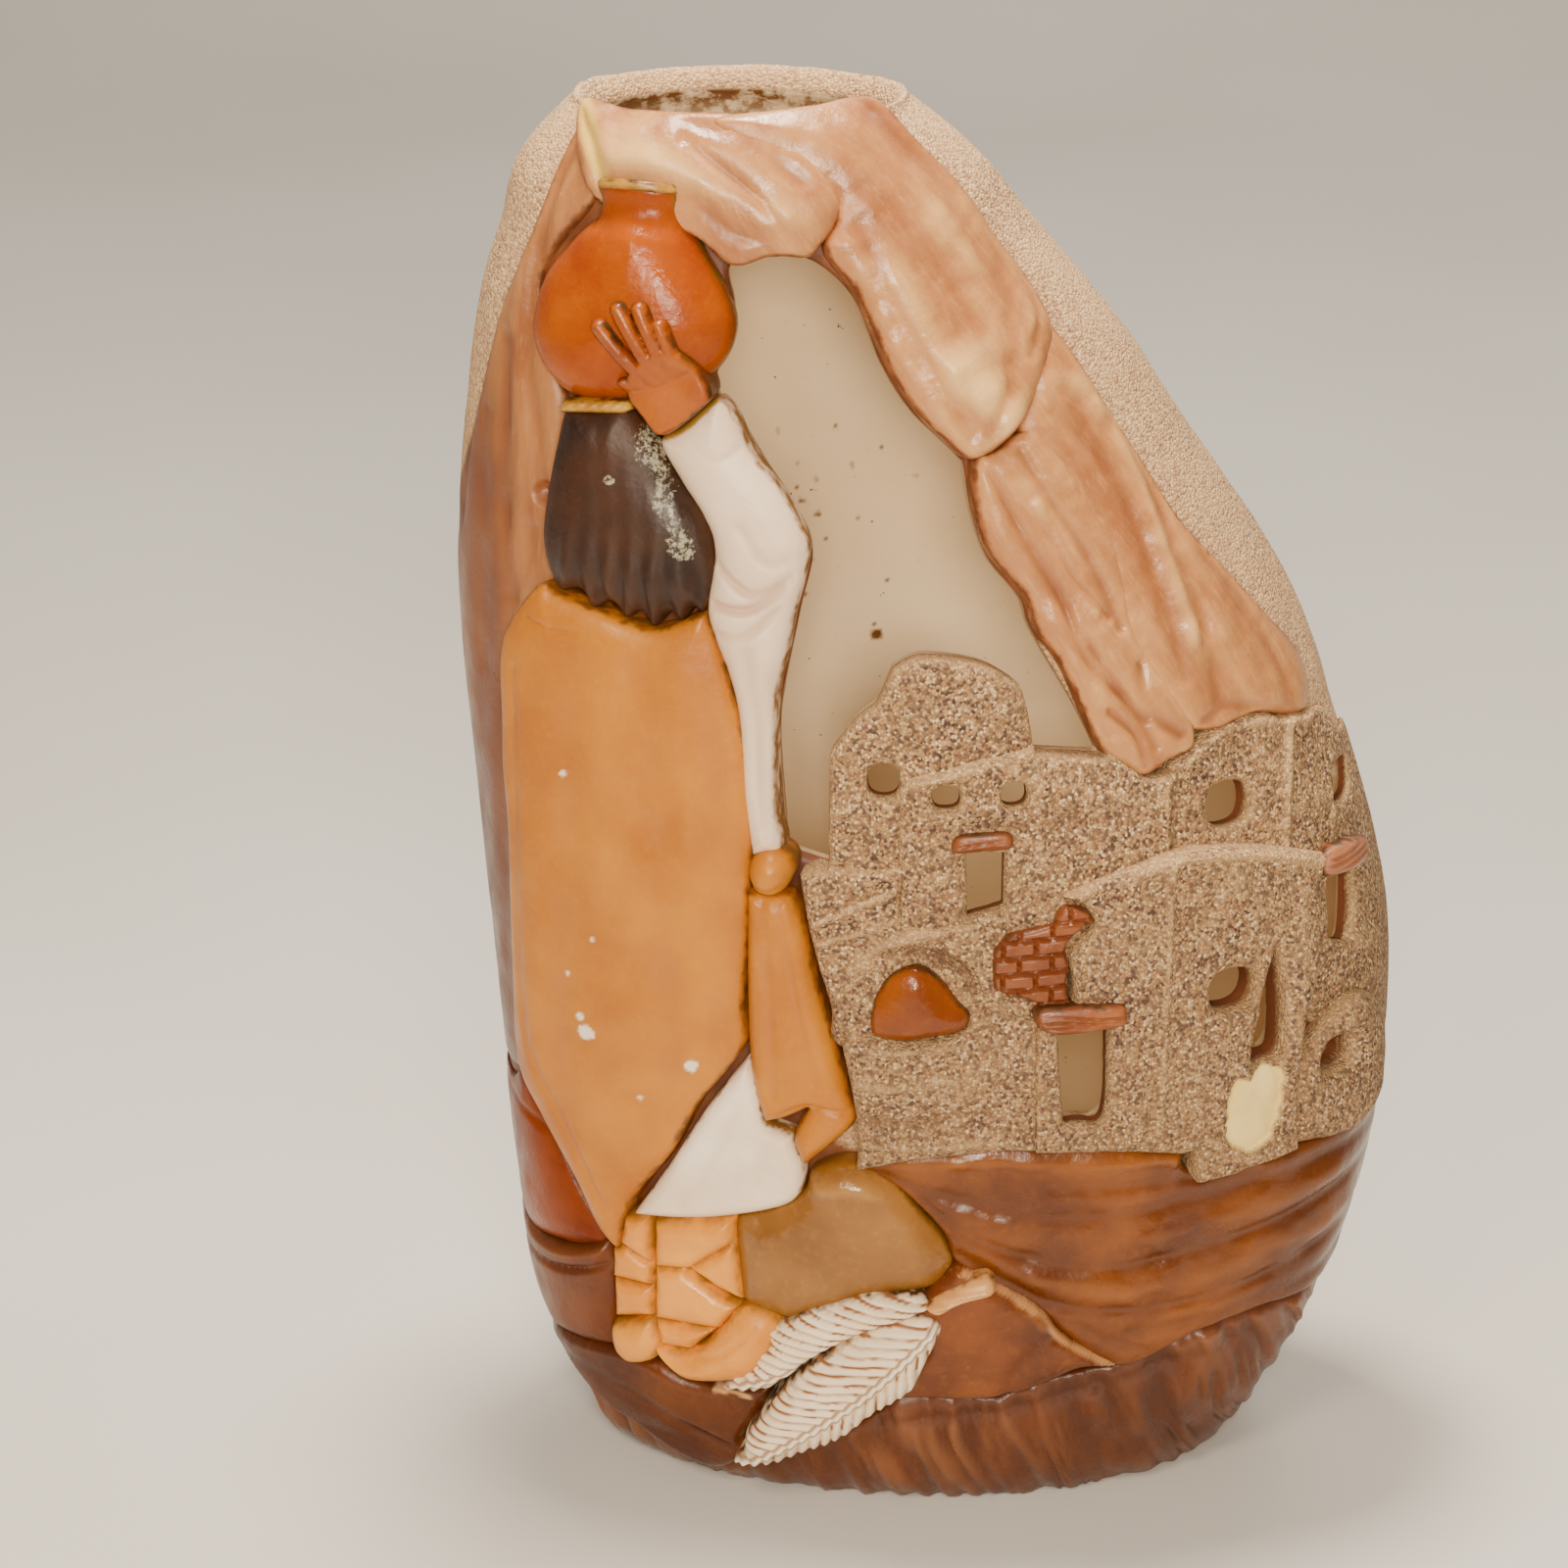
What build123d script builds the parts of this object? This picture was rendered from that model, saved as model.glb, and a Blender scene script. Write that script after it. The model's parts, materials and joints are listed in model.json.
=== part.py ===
from build123d import *
import os
from math import sqrt

os.makedirs("parts", exist_ok=True)

# A slip-cast ceramic vase in the shape of a leaning cliff. A cave opens in its
# front wall, buildings stand in the cave, and a standing figure with a jar on
# the head is modelled on the left. +Z is up, the front faces -Y, and the
# origin is the middle of the bounding box on the floor. Millimetres.

# Driving dimensions
WALL = 6.0
FLOOR = 8.0
RIM_ROUND = 2.4
RIM_INNER_ROUND = 1.6
MIDDLE_X = 0.4
MIDDLE_Y = 6.7
REACH = 130.0
WINDOW_REACH = 24.0
SHARP_CORNER = 1.0
SOFT_CORNER = 1.5
ROUND_CORNER = 2.0
BROAD_CORNER = 3.0
PROUD_SHARE = 0.7

# Outer form: height, middle in X, half width, half depth of each oval section
SECTIONS = [
    (0, 3, 68, 41),
    (7, -1, 82, 48),
    (22, -1, 93, 55),
    (45, 0, 103, 61),
    (80, 3, 111, 64),
    (115, 3.5, 114.5, 65),
    (150, 1.5, 115.5, 64),
    (190, -5, 112, 61),
    (222, -12, 107.5, 57.5),
    (250, -20, 100, 54),
    (275, -27.5, 91, 50),
    (300, -34.5, 81, 46),
    (325, -43, 67, 42),
    (345, -47, 55, 37),
    (357, -48.5, 45, 32),
    (363, -49, 38, 27),
]

# How far each relief stands out from the body
RISE = {
    "head_ring": 9,
    "hair": 12,
    "shawl": 10,
    "sleeve": 9,
    "sash_knot": 13,
    "sash_tail": 10,
    "skirt": 7,
    "left_moccasin": 10,
    "right_moccasin": 10,
    "feather_lower": 13,
    "feather_upper": 12,
    "feather_stick": 12,
    "boulder": 9,
    "ground_slab": 9,
    "ground_step": 8,
    "red_jar": 6,
    "jar_bowl": 7,
    "arch_rock_top": 7,
    "arch_rock_middle": 8,
    "arch_rock_inner": 7,
    "arch_rock_outer": 6,
    "cliff_left": 3,
    "niche_boulder": 12,
    "lintel_upper": 10.5,
    "lintel_lower": 15.5,
    "lintel_right": 11,
    "front_block": 12,
    "oven_mound": 11,
    "tower": 6,
    "upper_row": 8.5,
    "right_block": 5,
    "lower_block": 12.5,
    "strata": 9,
    "far_wall": 3.5,
    "canyon_ledge": 4.5,
    "base_rock": 5,
}

# Rounding of the crest of the reliefs that have a softened edge
CREST_ROUND = {
    "head_ring": 0.9,
    "hair": 3.6,
    "sleeve": 3,
    "sash_knot": 2.4,
    "sash_tail": 1.2,
    "skirt": 1.2,
    "left_moccasin": 3,
    "feather_lower": 0.9,
    "boulder": 4,
    "ground_slab": 2.5,
    "ground_step": 1.2,
    "red_jar": 1.2,
    "arch_rock_inner": 3,
    "front_block": 1.2,
    "tower": 1.2,
    "upper_row": 1.2,
    "lower_block": 1.2,
    "strata": 1.2,
}

# Front elevation plane: local x is X, local y is height, extrusions go to -Y
FRONT = Plane(origin=(MIDDLE_X, MIDDLE_Y, 0), x_dir=(1, 0, 0), z_dir=(0, -1, 0))


def body_form(grow):
    """Solid outer form of the vase with its surface moved outwards by grow."""
    rings = []
    for height, middle, half_width, half_depth in SECTIONS:
        ring_plane = Plane(origin=(middle + MIDDLE_X, MIDDLE_Y, height))
        with BuildSketch(ring_plane) as ring:
            Ellipse(half_width + grow, half_depth + grow)
        rings.append(ring.sketch.face())
    with BuildPart() as form:
        loft(rings)
    return form.part


BODY_FORM = body_form(0)
GROWN_FORMS = {}


def grown_form(height):
    """The form that a relief of this height reaches, made once per height."""
    if height not in GROWN_FORMS:
        GROWN_FORMS[height] = body_form(height)
    return GROWN_FORMS[height]


def surface_depth(x, height):
    """Distance of the body's front surface in front of its middle plane."""
    for low, high in zip(SECTIONS, SECTIONS[1:]):
        if height <= high[0]:
            break
    share = (height - low[0]) / (high[0] - low[0])
    middle, half_width, half_depth = [a + (b - a) * share for a, b in zip(low[1:], high[1:])]
    return half_depth * sqrt(max(0.0, 1 - ((x - middle) / half_width) ** 2))


def smooth_face(outline):
    """Face inside a smooth closed curve through the outline's points."""
    with BuildSketch(FRONT) as drawing:
        with BuildLine():
            Spline(*outline, periodic=True)
        make_face()
    return drawing.sketch


def cornered_face(outline, corner):
    """Face inside a polygon whose corners are rounded."""
    with BuildSketch(FRONT) as drawing:
        with BuildLine():
            Polyline(*outline, close=True)
        make_face()
        fillet(drawing.vertices(), corner)
    return drawing.sketch


def raise_relief(face, height, wrap=0.0):
    """Add a relief over the face to the current part, proud of the body by
    height. wrap is how far it goes back past the middle plane."""
    extrude(face, amount=REACH)
    if wrap:
        extrude(face, amount=-wrap)
    add(grown_form(height), mode=Mode.INTERSECT)
    add(BODY_FORM, mode=Mode.SUBTRACT)


def crest_edges(part, height):
    """Edges of a relief on its outer surface, where it is fully proud."""
    return part.edges().filter_by(
        lambda edge: min(BODY_FORM.distance_to(edge @ t) for t in (0.1, 0.5, 0.9)) > PROUD_SHARE * height
    )


taken_faces = []


def save(part, name):
    """Label a finished piece and write its STEP file."""
    part.label = name
    export_step(part, f"parts/{name}.step")


def boxes_meet(first, second):
    """Whether the bounding boxes of two shapes overlap."""
    a = first.bounding_box()
    b = second.bounding_box()
    return all(low <= high for low, high in zip((*a.min, *b.min), (*b.max, *a.max)))


def relief(name, face, wrap=0.0, cutters=()):
    """Make and save a relief on the body: softened crest, clear of the outline
    of every relief finished before it, and cut by any hole cutters."""
    with BuildPart() as piece:
        raise_relief(face, RISE[name], wrap)
        if name in CREST_ROUND:
            fillet(crest_edges(piece.part, RISE[name]), CREST_ROUND[name])
        for taken in taken_faces:
            if boxes_meet(face, taken):
                extrude(taken, amount=REACH, mode=Mode.SUBTRACT)
                if wrap:
                    extrude(taken, amount=-wrap, mode=Mode.SUBTRACT)
        for cutter in cutters:
            if boxes_meet(piece.part, cutter):
                add(cutter, mode=Mode.SUBTRACT)
        add(piece.solids().sort_by(SortBy.VOLUME)[-1], mode=Mode.REPLACE)
    taken_faces.append(face)
    save(piece.part, name)


def hole_cutter(x, height, turn, outline, corner):
    """Cutter for a hole through the front wall, turned about Z in degrees."""
    depth = surface_depth(x, height)
    origin = (x + MIDDLE_X, MIDDLE_Y - depth, height)
    facing = Vector(0, -1, 0).rotate(Axis.Z, turn)
    across = Vector(1, 0, 0).rotate(Axis.Z, turn)
    with BuildPart() as cutter:
        with BuildSketch(Plane(origin=origin, x_dir=across, z_dir=facing)) as opening:
            Polygon(*outline, align=None)
            fillet(opening.vertices(), corner)
        extrude(opening.sketch, amount=WINDOW_REACH, both=True)
    return cutter.part


def window(width, height):
    """Corner points of an upright window about its own middle."""
    x = width / 2
    y = height / 2
    return [(-x, -y), (x, -y), (x, y), (-x, y)]


# Cave opening in the front wall, with the tower's stepped top as its sill
CAVE = [
    (-50, 331),
    (-31, 332),
    (-20, 323),
    (-13, 307),
    (7, 283),
    (13, 260),
    (24, 242),
    (35, 223),
    (40, 212),
    (24, 214),
    (20, 231),
    (11, 235),
    (-3, 238),
    (-11, 234),
    (-14, 225),
    (-25, 214),
    (-25, 185),
    (-36, 186),
    (-37, 215),
    (-33, 247),
    (-30, 264),
    (-38, 278),
    (-56, 304),
    (-49, 320),
]
CAVE_CORNER = 1.6

# Holes through the wall: X, height, turn of the hole about Z, outline
HOLES = {
    "tower_window": (-12, 207, 4, window(6.5, 7.5), 1.6),
    "row_window_left": (3, 203, 0, window(5.5, 5), 1.4),
    "row_window_right": (19, 203.5, 6, window(5, 5), 1.4),
    "row_door": (13, 182, 3, window(8, 13), 0.8),
    "right_window": (72, 197, 16, window(9, 9.5), 1.6),
    "far_window": (101, 191, 42, window(7, 8), 1.6),
    "front_window": (73, 150.5, 14, window(9.5, 9), 1.0),
    "lower_door": (36.5, 132, 5, [(-6, 11), (-4.5, -12.5), (5.5, -11), (6, 11)], 0.8),
    "far_door": (101.5, 166, 38, [(-3.5, 8), (-2.5, -9), (3, -8), (4, 10)], 0.8),
    "crack": (85, 142, 16, [(1, 15), (-0.6, -2), (-3, -12), (1.6, -13), (2.2, 0)], 0.4),
    "oven_hole": (101, 125, 36, window(8, 8), 2.6),
}
hole_cutters = [hole_cutter(*hole) for hole in HOLES.values()]

with BuildPart() as cave_cutter:
    extrude(cornered_face(CAVE, CAVE_CORNER), amount=REACH)

# Shell: outer form, hollow inside, open at the mouth, the cave and the holes
with BuildPart() as hollow:
    add(body_form(-WALL))
    with BuildSketch(Plane.XY):
        Rectangle(2 * REACH, 2 * REACH)
    extrude(amount=FLOOR, mode=Mode.SUBTRACT)

with BuildPart() as vase_body:
    add(BODY_FORM)
    add(hollow.part, mode=Mode.SUBTRACT)
    fillet(vase_body.edges().group_by(Axis.Z)[-1].sort_by(SortBy.LENGTH)[-1], RIM_ROUND)
    fillet(vase_body.edges().group_by(Axis.Z)[-1].sort_by(SortBy.LENGTH)[0], RIM_INNER_ROUND)
    add(cave_cutter.part, mode=Mode.SUBTRACT)
    for cutter in hole_cutters:
        add(cutter, mode=Mode.SUBTRACT)
save(vase_body.part, "vase_body")


# Water jar carried on the head, its axis a little inside the body's surface
JAR_FOOT = Vector(-71.5 + MIDDLE_X, MIDDLE_Y - 31.5, 296.5)
JAR_TOP = Vector(-69.2 + MIDDLE_X, MIDDLE_Y - 24.5, 353.5)
JAR_SIDE = [(10, 0), (17.5, 5), (22.6, 14), (22.8, 23), (18.5, 34), (11.5, 42.5), (8.2, 48), (9, 55)]
LIP_RADIUS = 9.0
LIP_THICKNESS = 1.4

jar_axis = Axis(JAR_FOOT, JAR_TOP - JAR_FOOT)
jar_side_normal = Vector(1, 0, 0).cross(jar_axis.direction).normalized()
jar_side_plane = Plane(JAR_FOOT, x_dir=jar_axis.direction.cross(jar_side_normal), z_dir=jar_side_normal)

with BuildPart() as water_jar:
    with BuildSketch(jar_side_plane):
        with BuildLine():
            Spline(*JAR_SIDE)
            Polyline(JAR_SIDE[-1], (0, JAR_SIDE[-1][1]), (0, 0), JAR_SIDE[0])
        make_face()
    revolve(axis=jar_axis)
    add(BODY_FORM, mode=Mode.SUBTRACT)
save(water_jar.part, "water_jar")

JAR_SHADOW = [
    (-82, 297),
    (-61, 297),
    (-47, 312),
    (-47, 326),
    (-58, 342),
    (-58, 358),
    (-81, 358),
    (-84, 344),
    (-95, 324),
    (-95, 310),
]
taken_faces.append(cornered_face(JAR_SHADOW, SHARP_CORNER))

with BuildPart() as jar_lip:
    with BuildSketch(jar_side_plane):
        with Locations((LIP_RADIUS, JAR_SIDE[-1][1] + LIP_THICKNESS)):
            Circle(LIP_THICKNESS)
    revolve(axis=jar_axis)
    add(BODY_FORM, mode=Mode.SUBTRACT)
    add(water_jar.part, mode=Mode.SUBTRACT)
save(jar_lip.part, "jar_lip")

# Ring pad between the jar and the head
RING_PAD = [(-86, 291), (-71, 292), (-71, 297.5), (-86, 297)]
relief("head_ring", cornered_face(RING_PAD, SOFT_CORNER))

# Hand on the jar: a palm, four fingers and a thumb
HAND_HEIGHT = 19
FINGER_WIDTH = 4.2
FINGER_ROUND = 1.4
PALM = [(-69, 307), (-61, 313), (-54, 305), (-54, 299), (-63, 291), (-68, 297)]
FINGERS = [
    ((-66, 305), (-74.5, 317.5)),
    ((-64, 307), (-70.5, 320)),
    ((-62, 309), (-66.3, 321)),
    ((-59.5, 309), (-62, 318.5)),
    ((-65, 298), (-70.5, 301.5)),
]

with BuildPart() as hand:
    with BuildSketch(FRONT) as hand_outline:
        with BuildLine():
            Spline(*PALM, periodic=True)
        make_face()
        for knuckle, tip in FINGERS:
            SlotCenterPoint((Vector(knuckle) + Vector(tip)) / 2, tip, FINGER_WIDTH)
    extrude(amount=REACH)
    add(grown_form(HAND_HEIGHT), mode=Mode.INTERSECT)
    add(BODY_FORM, mode=Mode.SUBTRACT)
    add(water_jar.part, mode=Mode.SUBTRACT)
    add(hand.solids().sort_by(SortBy.VOLUME)[-1], mode=Mode.REPLACE)
taken_faces.append(hand_outline.sketch)
save(hand.part, "hand")

# Figure of a person facing the cliff
HAIR = [
    (-86, 294),
    (-72, 297),
    (-63, 286),
    (-55, 273),
    (-52, 262),
    (-54, 249),
    (-65, 245),
    (-78, 246),
    (-88, 250),
    (-92, 263),
    (-91, 278),
]
relief("hair", smooth_face(HAIR))

SHAWL = [
    (-91, 251),
    (-78, 246),
    (-63, 243),
    (-53, 248),
    (-48, 230),
    (-44, 205),
    (-43, 180),
    (-44, 155),
    (-45, 136),
    (-54, 121),
    (-64, 102),
    (-74, 76),
    (-84, 88),
    (-95, 106),
    (-101, 122),
    (-101, 160),
    (-102, 199),
    (-102, 228),
]
relief("shawl", smooth_face(SHAWL))

SLEEVE = [
    (-65, 288),
    (-52, 299),
    (-46, 291),
    (-38, 279),
    (-30, 265),
    (-32, 250),
    (-36, 232),
    (-37, 210),
    (-37, 189),
    (-43, 188),
    (-47, 210),
    (-52, 235),
    (-55, 250),
    (-53, 264),
    (-58, 278),
]
relief("sleeve", smooth_face(SLEEVE))

SASH_KNOT = [(-43.5, 183), (-41, 189), (-37, 190.5), (-33, 187.5), (-32.5, 181), (-36, 178), (-41, 178.5)]
relief("sash_knot", smooth_face(SASH_KNOT))

SASH_TAIL = [
    (-44, 177),
    (-43, 137),
    (-39, 116),
    (-28, 121),
    (-32, 114),
    (-30, 106),
    (-19, 116),
    (-18, 121),
    (-27, 154),
    (-33, 177),
]
relief("sash_tail", cornered_face(SASH_TAIL, SOFT_CORNER))

SKIRT = [(-44, 133), (-64, 100), (-74, 83), (-50, 87), (-34, 94), (-30, 103), (-39, 117)]
relief("skirt", cornered_face(SKIRT, ROUND_CORNER))

# Leggings, wound with overlapping bands, and the moccasins below them
LEGGING_HEIGHT = 9
LEGGING_ROUND = 1.8
WRAP_CORNER = 1.2
LEFT_WRAPS = [
    [(-75, 75), (-67, 70), (-67, 86), (-75, 84)],
    [(-77, 64), (-67, 64), (-67, 71), (-77, 74)],
    [(-77, 52), (-67, 56), (-67, 65), (-77, 65)],
]
RIGHT_WRAPS = [
    [(-66.5, 70), (-58, 71), (-47, 81), (-46.5, 88), (-66.5, 86)],
    [(-59, 72), (-44, 64), (-46.5, 84)],
    [(-66.5, 56), (-50, 55.5), (-44, 64.5), (-59, 73), (-66.5, 71)],
    [(-66, 48.5), (-56, 48.5), (-50, 57), (-66, 57)],
]
LEFT_MOCCASIN = [(-77, 50), (-66.5, 56), (-63.5, 49), (-66, 43), (-71, 40.5), (-76, 43)]
RIGHT_MOCCASIN = [
    (-66, 50),
    (-57, 50),
    (-46, 63),
    (-39, 64),
    (-35, 59),
    (-38, 49),
    (-44, 43),
    (-57, 40),
    (-64, 43),
]


def legging(name, wraps):
    """Make and save one legging as bands of cloth that lie edge to edge."""
    bands = [cornered_face(wrap, WRAP_CORNER) for wrap in wraps]
    with BuildPart() as leg:
        for band in bands:
            extrude(band, amount=REACH)
        add(grown_form(LEGGING_HEIGHT), mode=Mode.INTERSECT)
        add(BODY_FORM, mode=Mode.SUBTRACT)
        for taken in taken_faces:
            if boxes_meet(leg.part, taken):
                extrude(taken, amount=REACH, mode=Mode.SUBTRACT)
    taken_faces.extend(bands)
    save(leg.part, name)


legging("left_legging", LEFT_WRAPS)
legging("right_legging", RIGHT_WRAPS)
relief("left_moccasin", smooth_face(LEFT_MOCCASIN))
relief("right_moccasin", smooth_face(RIGHT_MOCCASIN))

# Two feathers on a stick, lying in front of the boulder
FEATHER_LOWER = [
    (-46, 19),
    (-40, 35),
    (-29, 50),
    (-15, 61),
    (0, 66),
    (3, 60),
    (-3, 47),
    (-13, 37),
    (-22, 29),
    (-35, 21),
]
FEATHER_UPPER = [
    (-50, 39),
    (-41, 52),
    (-37, 61),
    (-16, 70),
    (-2, 72),
    (-3, 66),
    (-16, 59),
    (-29, 50),
    (-37, 42),
]
FEATHER_STICK = [(-2, 65), (2, 72), (8, 76), (15, 77), (16, 72), (8, 69)]
relief("feather_lower", smooth_face(FEATHER_LOWER))
relief("feather_upper", smooth_face(FEATHER_UPPER))
relief("feather_stick", smooth_face(FEATHER_STICK))

# Ground around the feet
BOULDER = [
    (-31, 97),
    (-28, 104),
    (-20, 107),
    (-12, 105),
    (-5, 98),
    (4, 86),
    (6, 78),
    (-2, 70),
    (-21, 63),
    (-38, 61),
    (-47, 70),
    (-46, 89),
]
relief("boulder", smooth_face(BOULDER))

GROUND_SLAB = [(6, 80), (-6, 62), (-8, 40), (16, 38), (30, 42), (49, 46), (35, 58), (28, 66)]
relief("ground_slab", cornered_face(GROUND_SLAB, BROAD_CORNER))

GROUND_STEP = [
    (-96, 36),
    (-77, 43),
    (-66, 41),
    (-55, 38),
    (-40, 41),
    (-38, 28),
    (-44, 16),
    (-60, 12),
    (-80, 20),
]
relief("ground_step", smooth_face(GROUND_STEP))

RED_JAR = [
    (-107, 108),
    (-100, 110),
    (-95, 103),
    (-87, 86),
    (-79, 72),
    (-92, 66),
    (-106, 63),
    (-124, 64),
    (-124, 104),
]
JAR_BOWL = [
    (-126, 63),
    (-104, 62),
    (-94, 63),
    (-79, 72),
    (-77, 60),
    (-77, 42),
    (-88, 38),
    (-102, 40),
    (-122, 50),
]
relief("red_jar", smooth_face(RED_JAR), wrap=2)
relief("jar_bowl", cornered_face(JAR_BOWL, SOFT_CORNER), wrap=6)

# Rocks of the cave arch and the cliff behind the figure
ARCH_TOP = [
    (-82, 358),
    (-66, 360),
    (-49, 360.5),
    (-37, 357),
    (-27, 352),
    (-24, 344),
    (-27, 335),
    (-49, 331),
    (-62, 340),
]
ARCH_MIDDLE = [
    (-38, 360),
    (-22, 360),
    (-9, 353),
    (4, 341),
    (18, 324),
    (28, 312),
    (22, 302),
    (19, 291),
    (7, 286),
    (-6, 296),
    (-14, 310),
    (-20, 324),
    (-25, 334),
    (-23, 346),
    (-28, 354),
]
ARCH_OUTER = [
    (28, 314),
    (39, 301),
    (63, 261),
    (81, 236),
    (90, 220),
    (88, 211),
    (67, 214),
    (58, 222),
    (46, 243),
    (44, 256),
    (32, 277),
    (21, 290),
    (22, 304),
]
ARCH_INNER = [
    (7, 285),
    (19, 290),
    (32, 277),
    (44, 256),
    (47, 241),
    (60, 221),
    (60, 209),
    (50, 205),
    (40, 212),
    (34, 224),
    (24, 242),
    (13, 260),
]
relief("arch_rock_top", smooth_face(ARCH_TOP))
relief("arch_rock_middle", smooth_face(ARCH_MIDDLE))
relief("arch_rock_inner", smooth_face(ARCH_INNER))
relief("arch_rock_outer", smooth_face(ARCH_OUTER))

CLIFF_LEFT = [
    (-83, 359),
    (-80, 346),
    (-93, 325),
    (-90, 300),
    (-90, 250),
    (-98, 235),
    (-98, 120),
    (-108, 104),
    (-128, 104),
    (-130, 240),
    (-118, 252),
    (-112, 285),
    (-104, 315),
    (-92, 348),
]
relief("cliff_left", cornered_face(CLIFF_LEFT, BROAD_CORNER), wrap=8)

# Buildings, rock bands and what stands among them
NICHE_BOULDER = [
    (-14, 149),
    (-12, 156),
    (-7, 161),
    (-1, 161),
    (5, 155),
    (9, 149),
    (5, 144),
    (-5, 142.5),
    (-12, 144),
]
relief("niche_boulder", smooth_face(NICHE_BOULDER))

LINTEL_UPPER = [(5, 189.5), (17.5, 190), (17.5, 194.5), (5.5, 194)]
LINTEL_LOWER = [(24.5, 146.5), (28, 144.5), (46, 144.5), (47.5, 149), (46, 151), (27, 151)]
LINTEL_RIGHT = [(93, 178), (107, 176.5), (107, 181), (94, 184)]
relief("lintel_upper", cornered_face(LINTEL_UPPER, SHARP_CORNER), cutters=hole_cutters)
relief("lintel_lower", cornered_face(LINTEL_LOWER, SHARP_CORNER), cutters=hole_cutters)
relief("lintel_right", cornered_face(LINTEL_RIGHT, SHARP_CORNER), cutters=hole_cutters)

BRICK_LENGTH = 7.4
BRICK_COURSE = 3.9
BRICK_JOINT = 0.8
BRICK_CORNER = 0.8
BRICK_HEIGHT = 11.5
MORTAR_HEIGHT = 10.8
MORTAR_CORE = 9.8
BRICK_PATCH = [
    (15, 156),
    (15, 166),
    (20, 170),
    (27, 172),
    (29, 175),
    (36, 175),
    (37, 171),
    (32, 166),
    (32, 151),
    (25, 150),
]
BRICK_ROWS = [(28, 153, 1), (23.5, 157, 2), (24.5, 161, 2), (23.5, 165, 2), (27.5, 169, 1), (32.5, 173, 1)]

brick_face = cornered_face(BRICK_PATCH, BRICK_CORNER)

with BuildPart() as bricks:
    with BuildSketch(FRONT):
        for middle, height, count in BRICK_ROWS:
            with Locations((middle, height)):
                with GridLocations(BRICK_LENGTH + BRICK_JOINT, 1, count, 1):
                    RectangleRounded(BRICK_LENGTH, BRICK_COURSE - BRICK_JOINT, BRICK_CORNER)
    extrude(amount=REACH)
    extrude(brick_face, amount=REACH, mode=Mode.INTERSECT)
    add(grown_form(BRICK_HEIGHT), mode=Mode.INTERSECT)
    add(grown_form(MORTAR_CORE), mode=Mode.SUBTRACT)

with BuildPart() as adobe_bricks:
    raise_relief(brick_face, MORTAR_HEIGHT)
    add(bricks.part)
    extrude(cornered_face(LINTEL_LOWER, SHARP_CORNER), amount=REACH, mode=Mode.SUBTRACT)
taken_faces.append(brick_face)
save(adobe_bricks.part, "adobe_bricks")

TOWER = [
    (-25, 183),
    (-25, 214),
    (-20, 221),
    (-14, 226),
    (-11, 234),
    (-3, 238),
    (11, 235),
    (21, 230),
    (24, 213),
    (-7, 208),
    (-7, 184),
]
UPPER_ROW = [
    (-6, 170),
    (-6, 209),
    (24, 214),
    (40, 212),
    (49, 206),
    (57, 206),
    (57, 184),
    (43, 182),
    (31, 178),
    (12, 172),
]
RIGHT_BLOCK = [
    (57, 184),
    (57, 206),
    (64, 209),
    (78, 215),
    (90, 212),
    (118, 200),
    (128, 165),
    (97, 174),
    (70, 184),
]
FRONT_BLOCK = [
    (31, 178),
    (43, 183),
    (55, 186),
    (70, 185),
    (97, 175),
    (98, 148),
    (92, 134),
    (92, 106),
    (64, 102),
    (57, 110),
    (26, 113),
    (24, 147),
    (32, 152),
    (32, 160),
    (37, 171),
]
LOWER_BLOCK = [(-22, 142), (10, 150), (24, 147), (26, 112), (-4, 112), (-18, 108)]
STRATA = [
    (-31, 181),
    (-7, 186),
    (-6, 170),
    (12, 172),
    (31, 178),
    (36, 172),
    (32, 160),
    (24, 147),
    (10, 150),
    (-22, 142),
    (-26, 157),
]
FAR_WALL = [(97, 175), (126, 164), (130, 136), (128, 104), (113, 103), (104, 132), (98, 140), (98, 150)]
OVEN_MOUND = [(93, 107), (92, 128), (97, 138), (106, 139), (114, 128), (116, 108), (104, 102)]
relief("front_block", cornered_face(FRONT_BLOCK, SOFT_CORNER), cutters=hole_cutters)
relief("oven_mound", smooth_face(OVEN_MOUND), cutters=hole_cutters)
relief("tower", cornered_face(TOWER, SOFT_CORNER), cutters=hole_cutters)
relief("upper_row", cornered_face(UPPER_ROW, SOFT_CORNER), cutters=hole_cutters)
relief("right_block", cornered_face(RIGHT_BLOCK, SOFT_CORNER), cutters=hole_cutters)
relief("lower_block", cornered_face(LOWER_BLOCK, SOFT_CORNER), cutters=hole_cutters)
relief("strata", cornered_face(STRATA, SOFT_CORNER), cutters=hole_cutters)
relief("far_wall", cornered_face(FAR_WALL, SOFT_CORNER), cutters=hole_cutters)

# Strata below the buildings and the rock around the foot
CANYON_LEDGE = [
    (-17, 107),
    (0, 112),
    (17, 112.5),
    (58, 109),
    (64, 110),
    (64, 101),
    (104, 101),
    (130, 104),
    (130, 66),
    (94, 54),
    (68, 52),
    (49, 45),
    (28, 66),
    (5, 80),
    (4, 88),
    (-5, 98),
]
BASE_ROCK = [
    (-104, 40),
    (-60, 13),
    (-43, 18),
    (-12, 32),
    (-7, 40),
    (16, 37),
    (49, 45),
    (68, 53),
    (94, 55),
    (128, 66),
    (128, 2),
    (-104, 2),
]
relief("canyon_ledge", cornered_face(CANYON_LEDGE, ROUND_CORNER), wrap=14)
relief("base_rock", cornered_face(BASE_ROCK, ROUND_CORNER), wrap=14)
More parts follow.
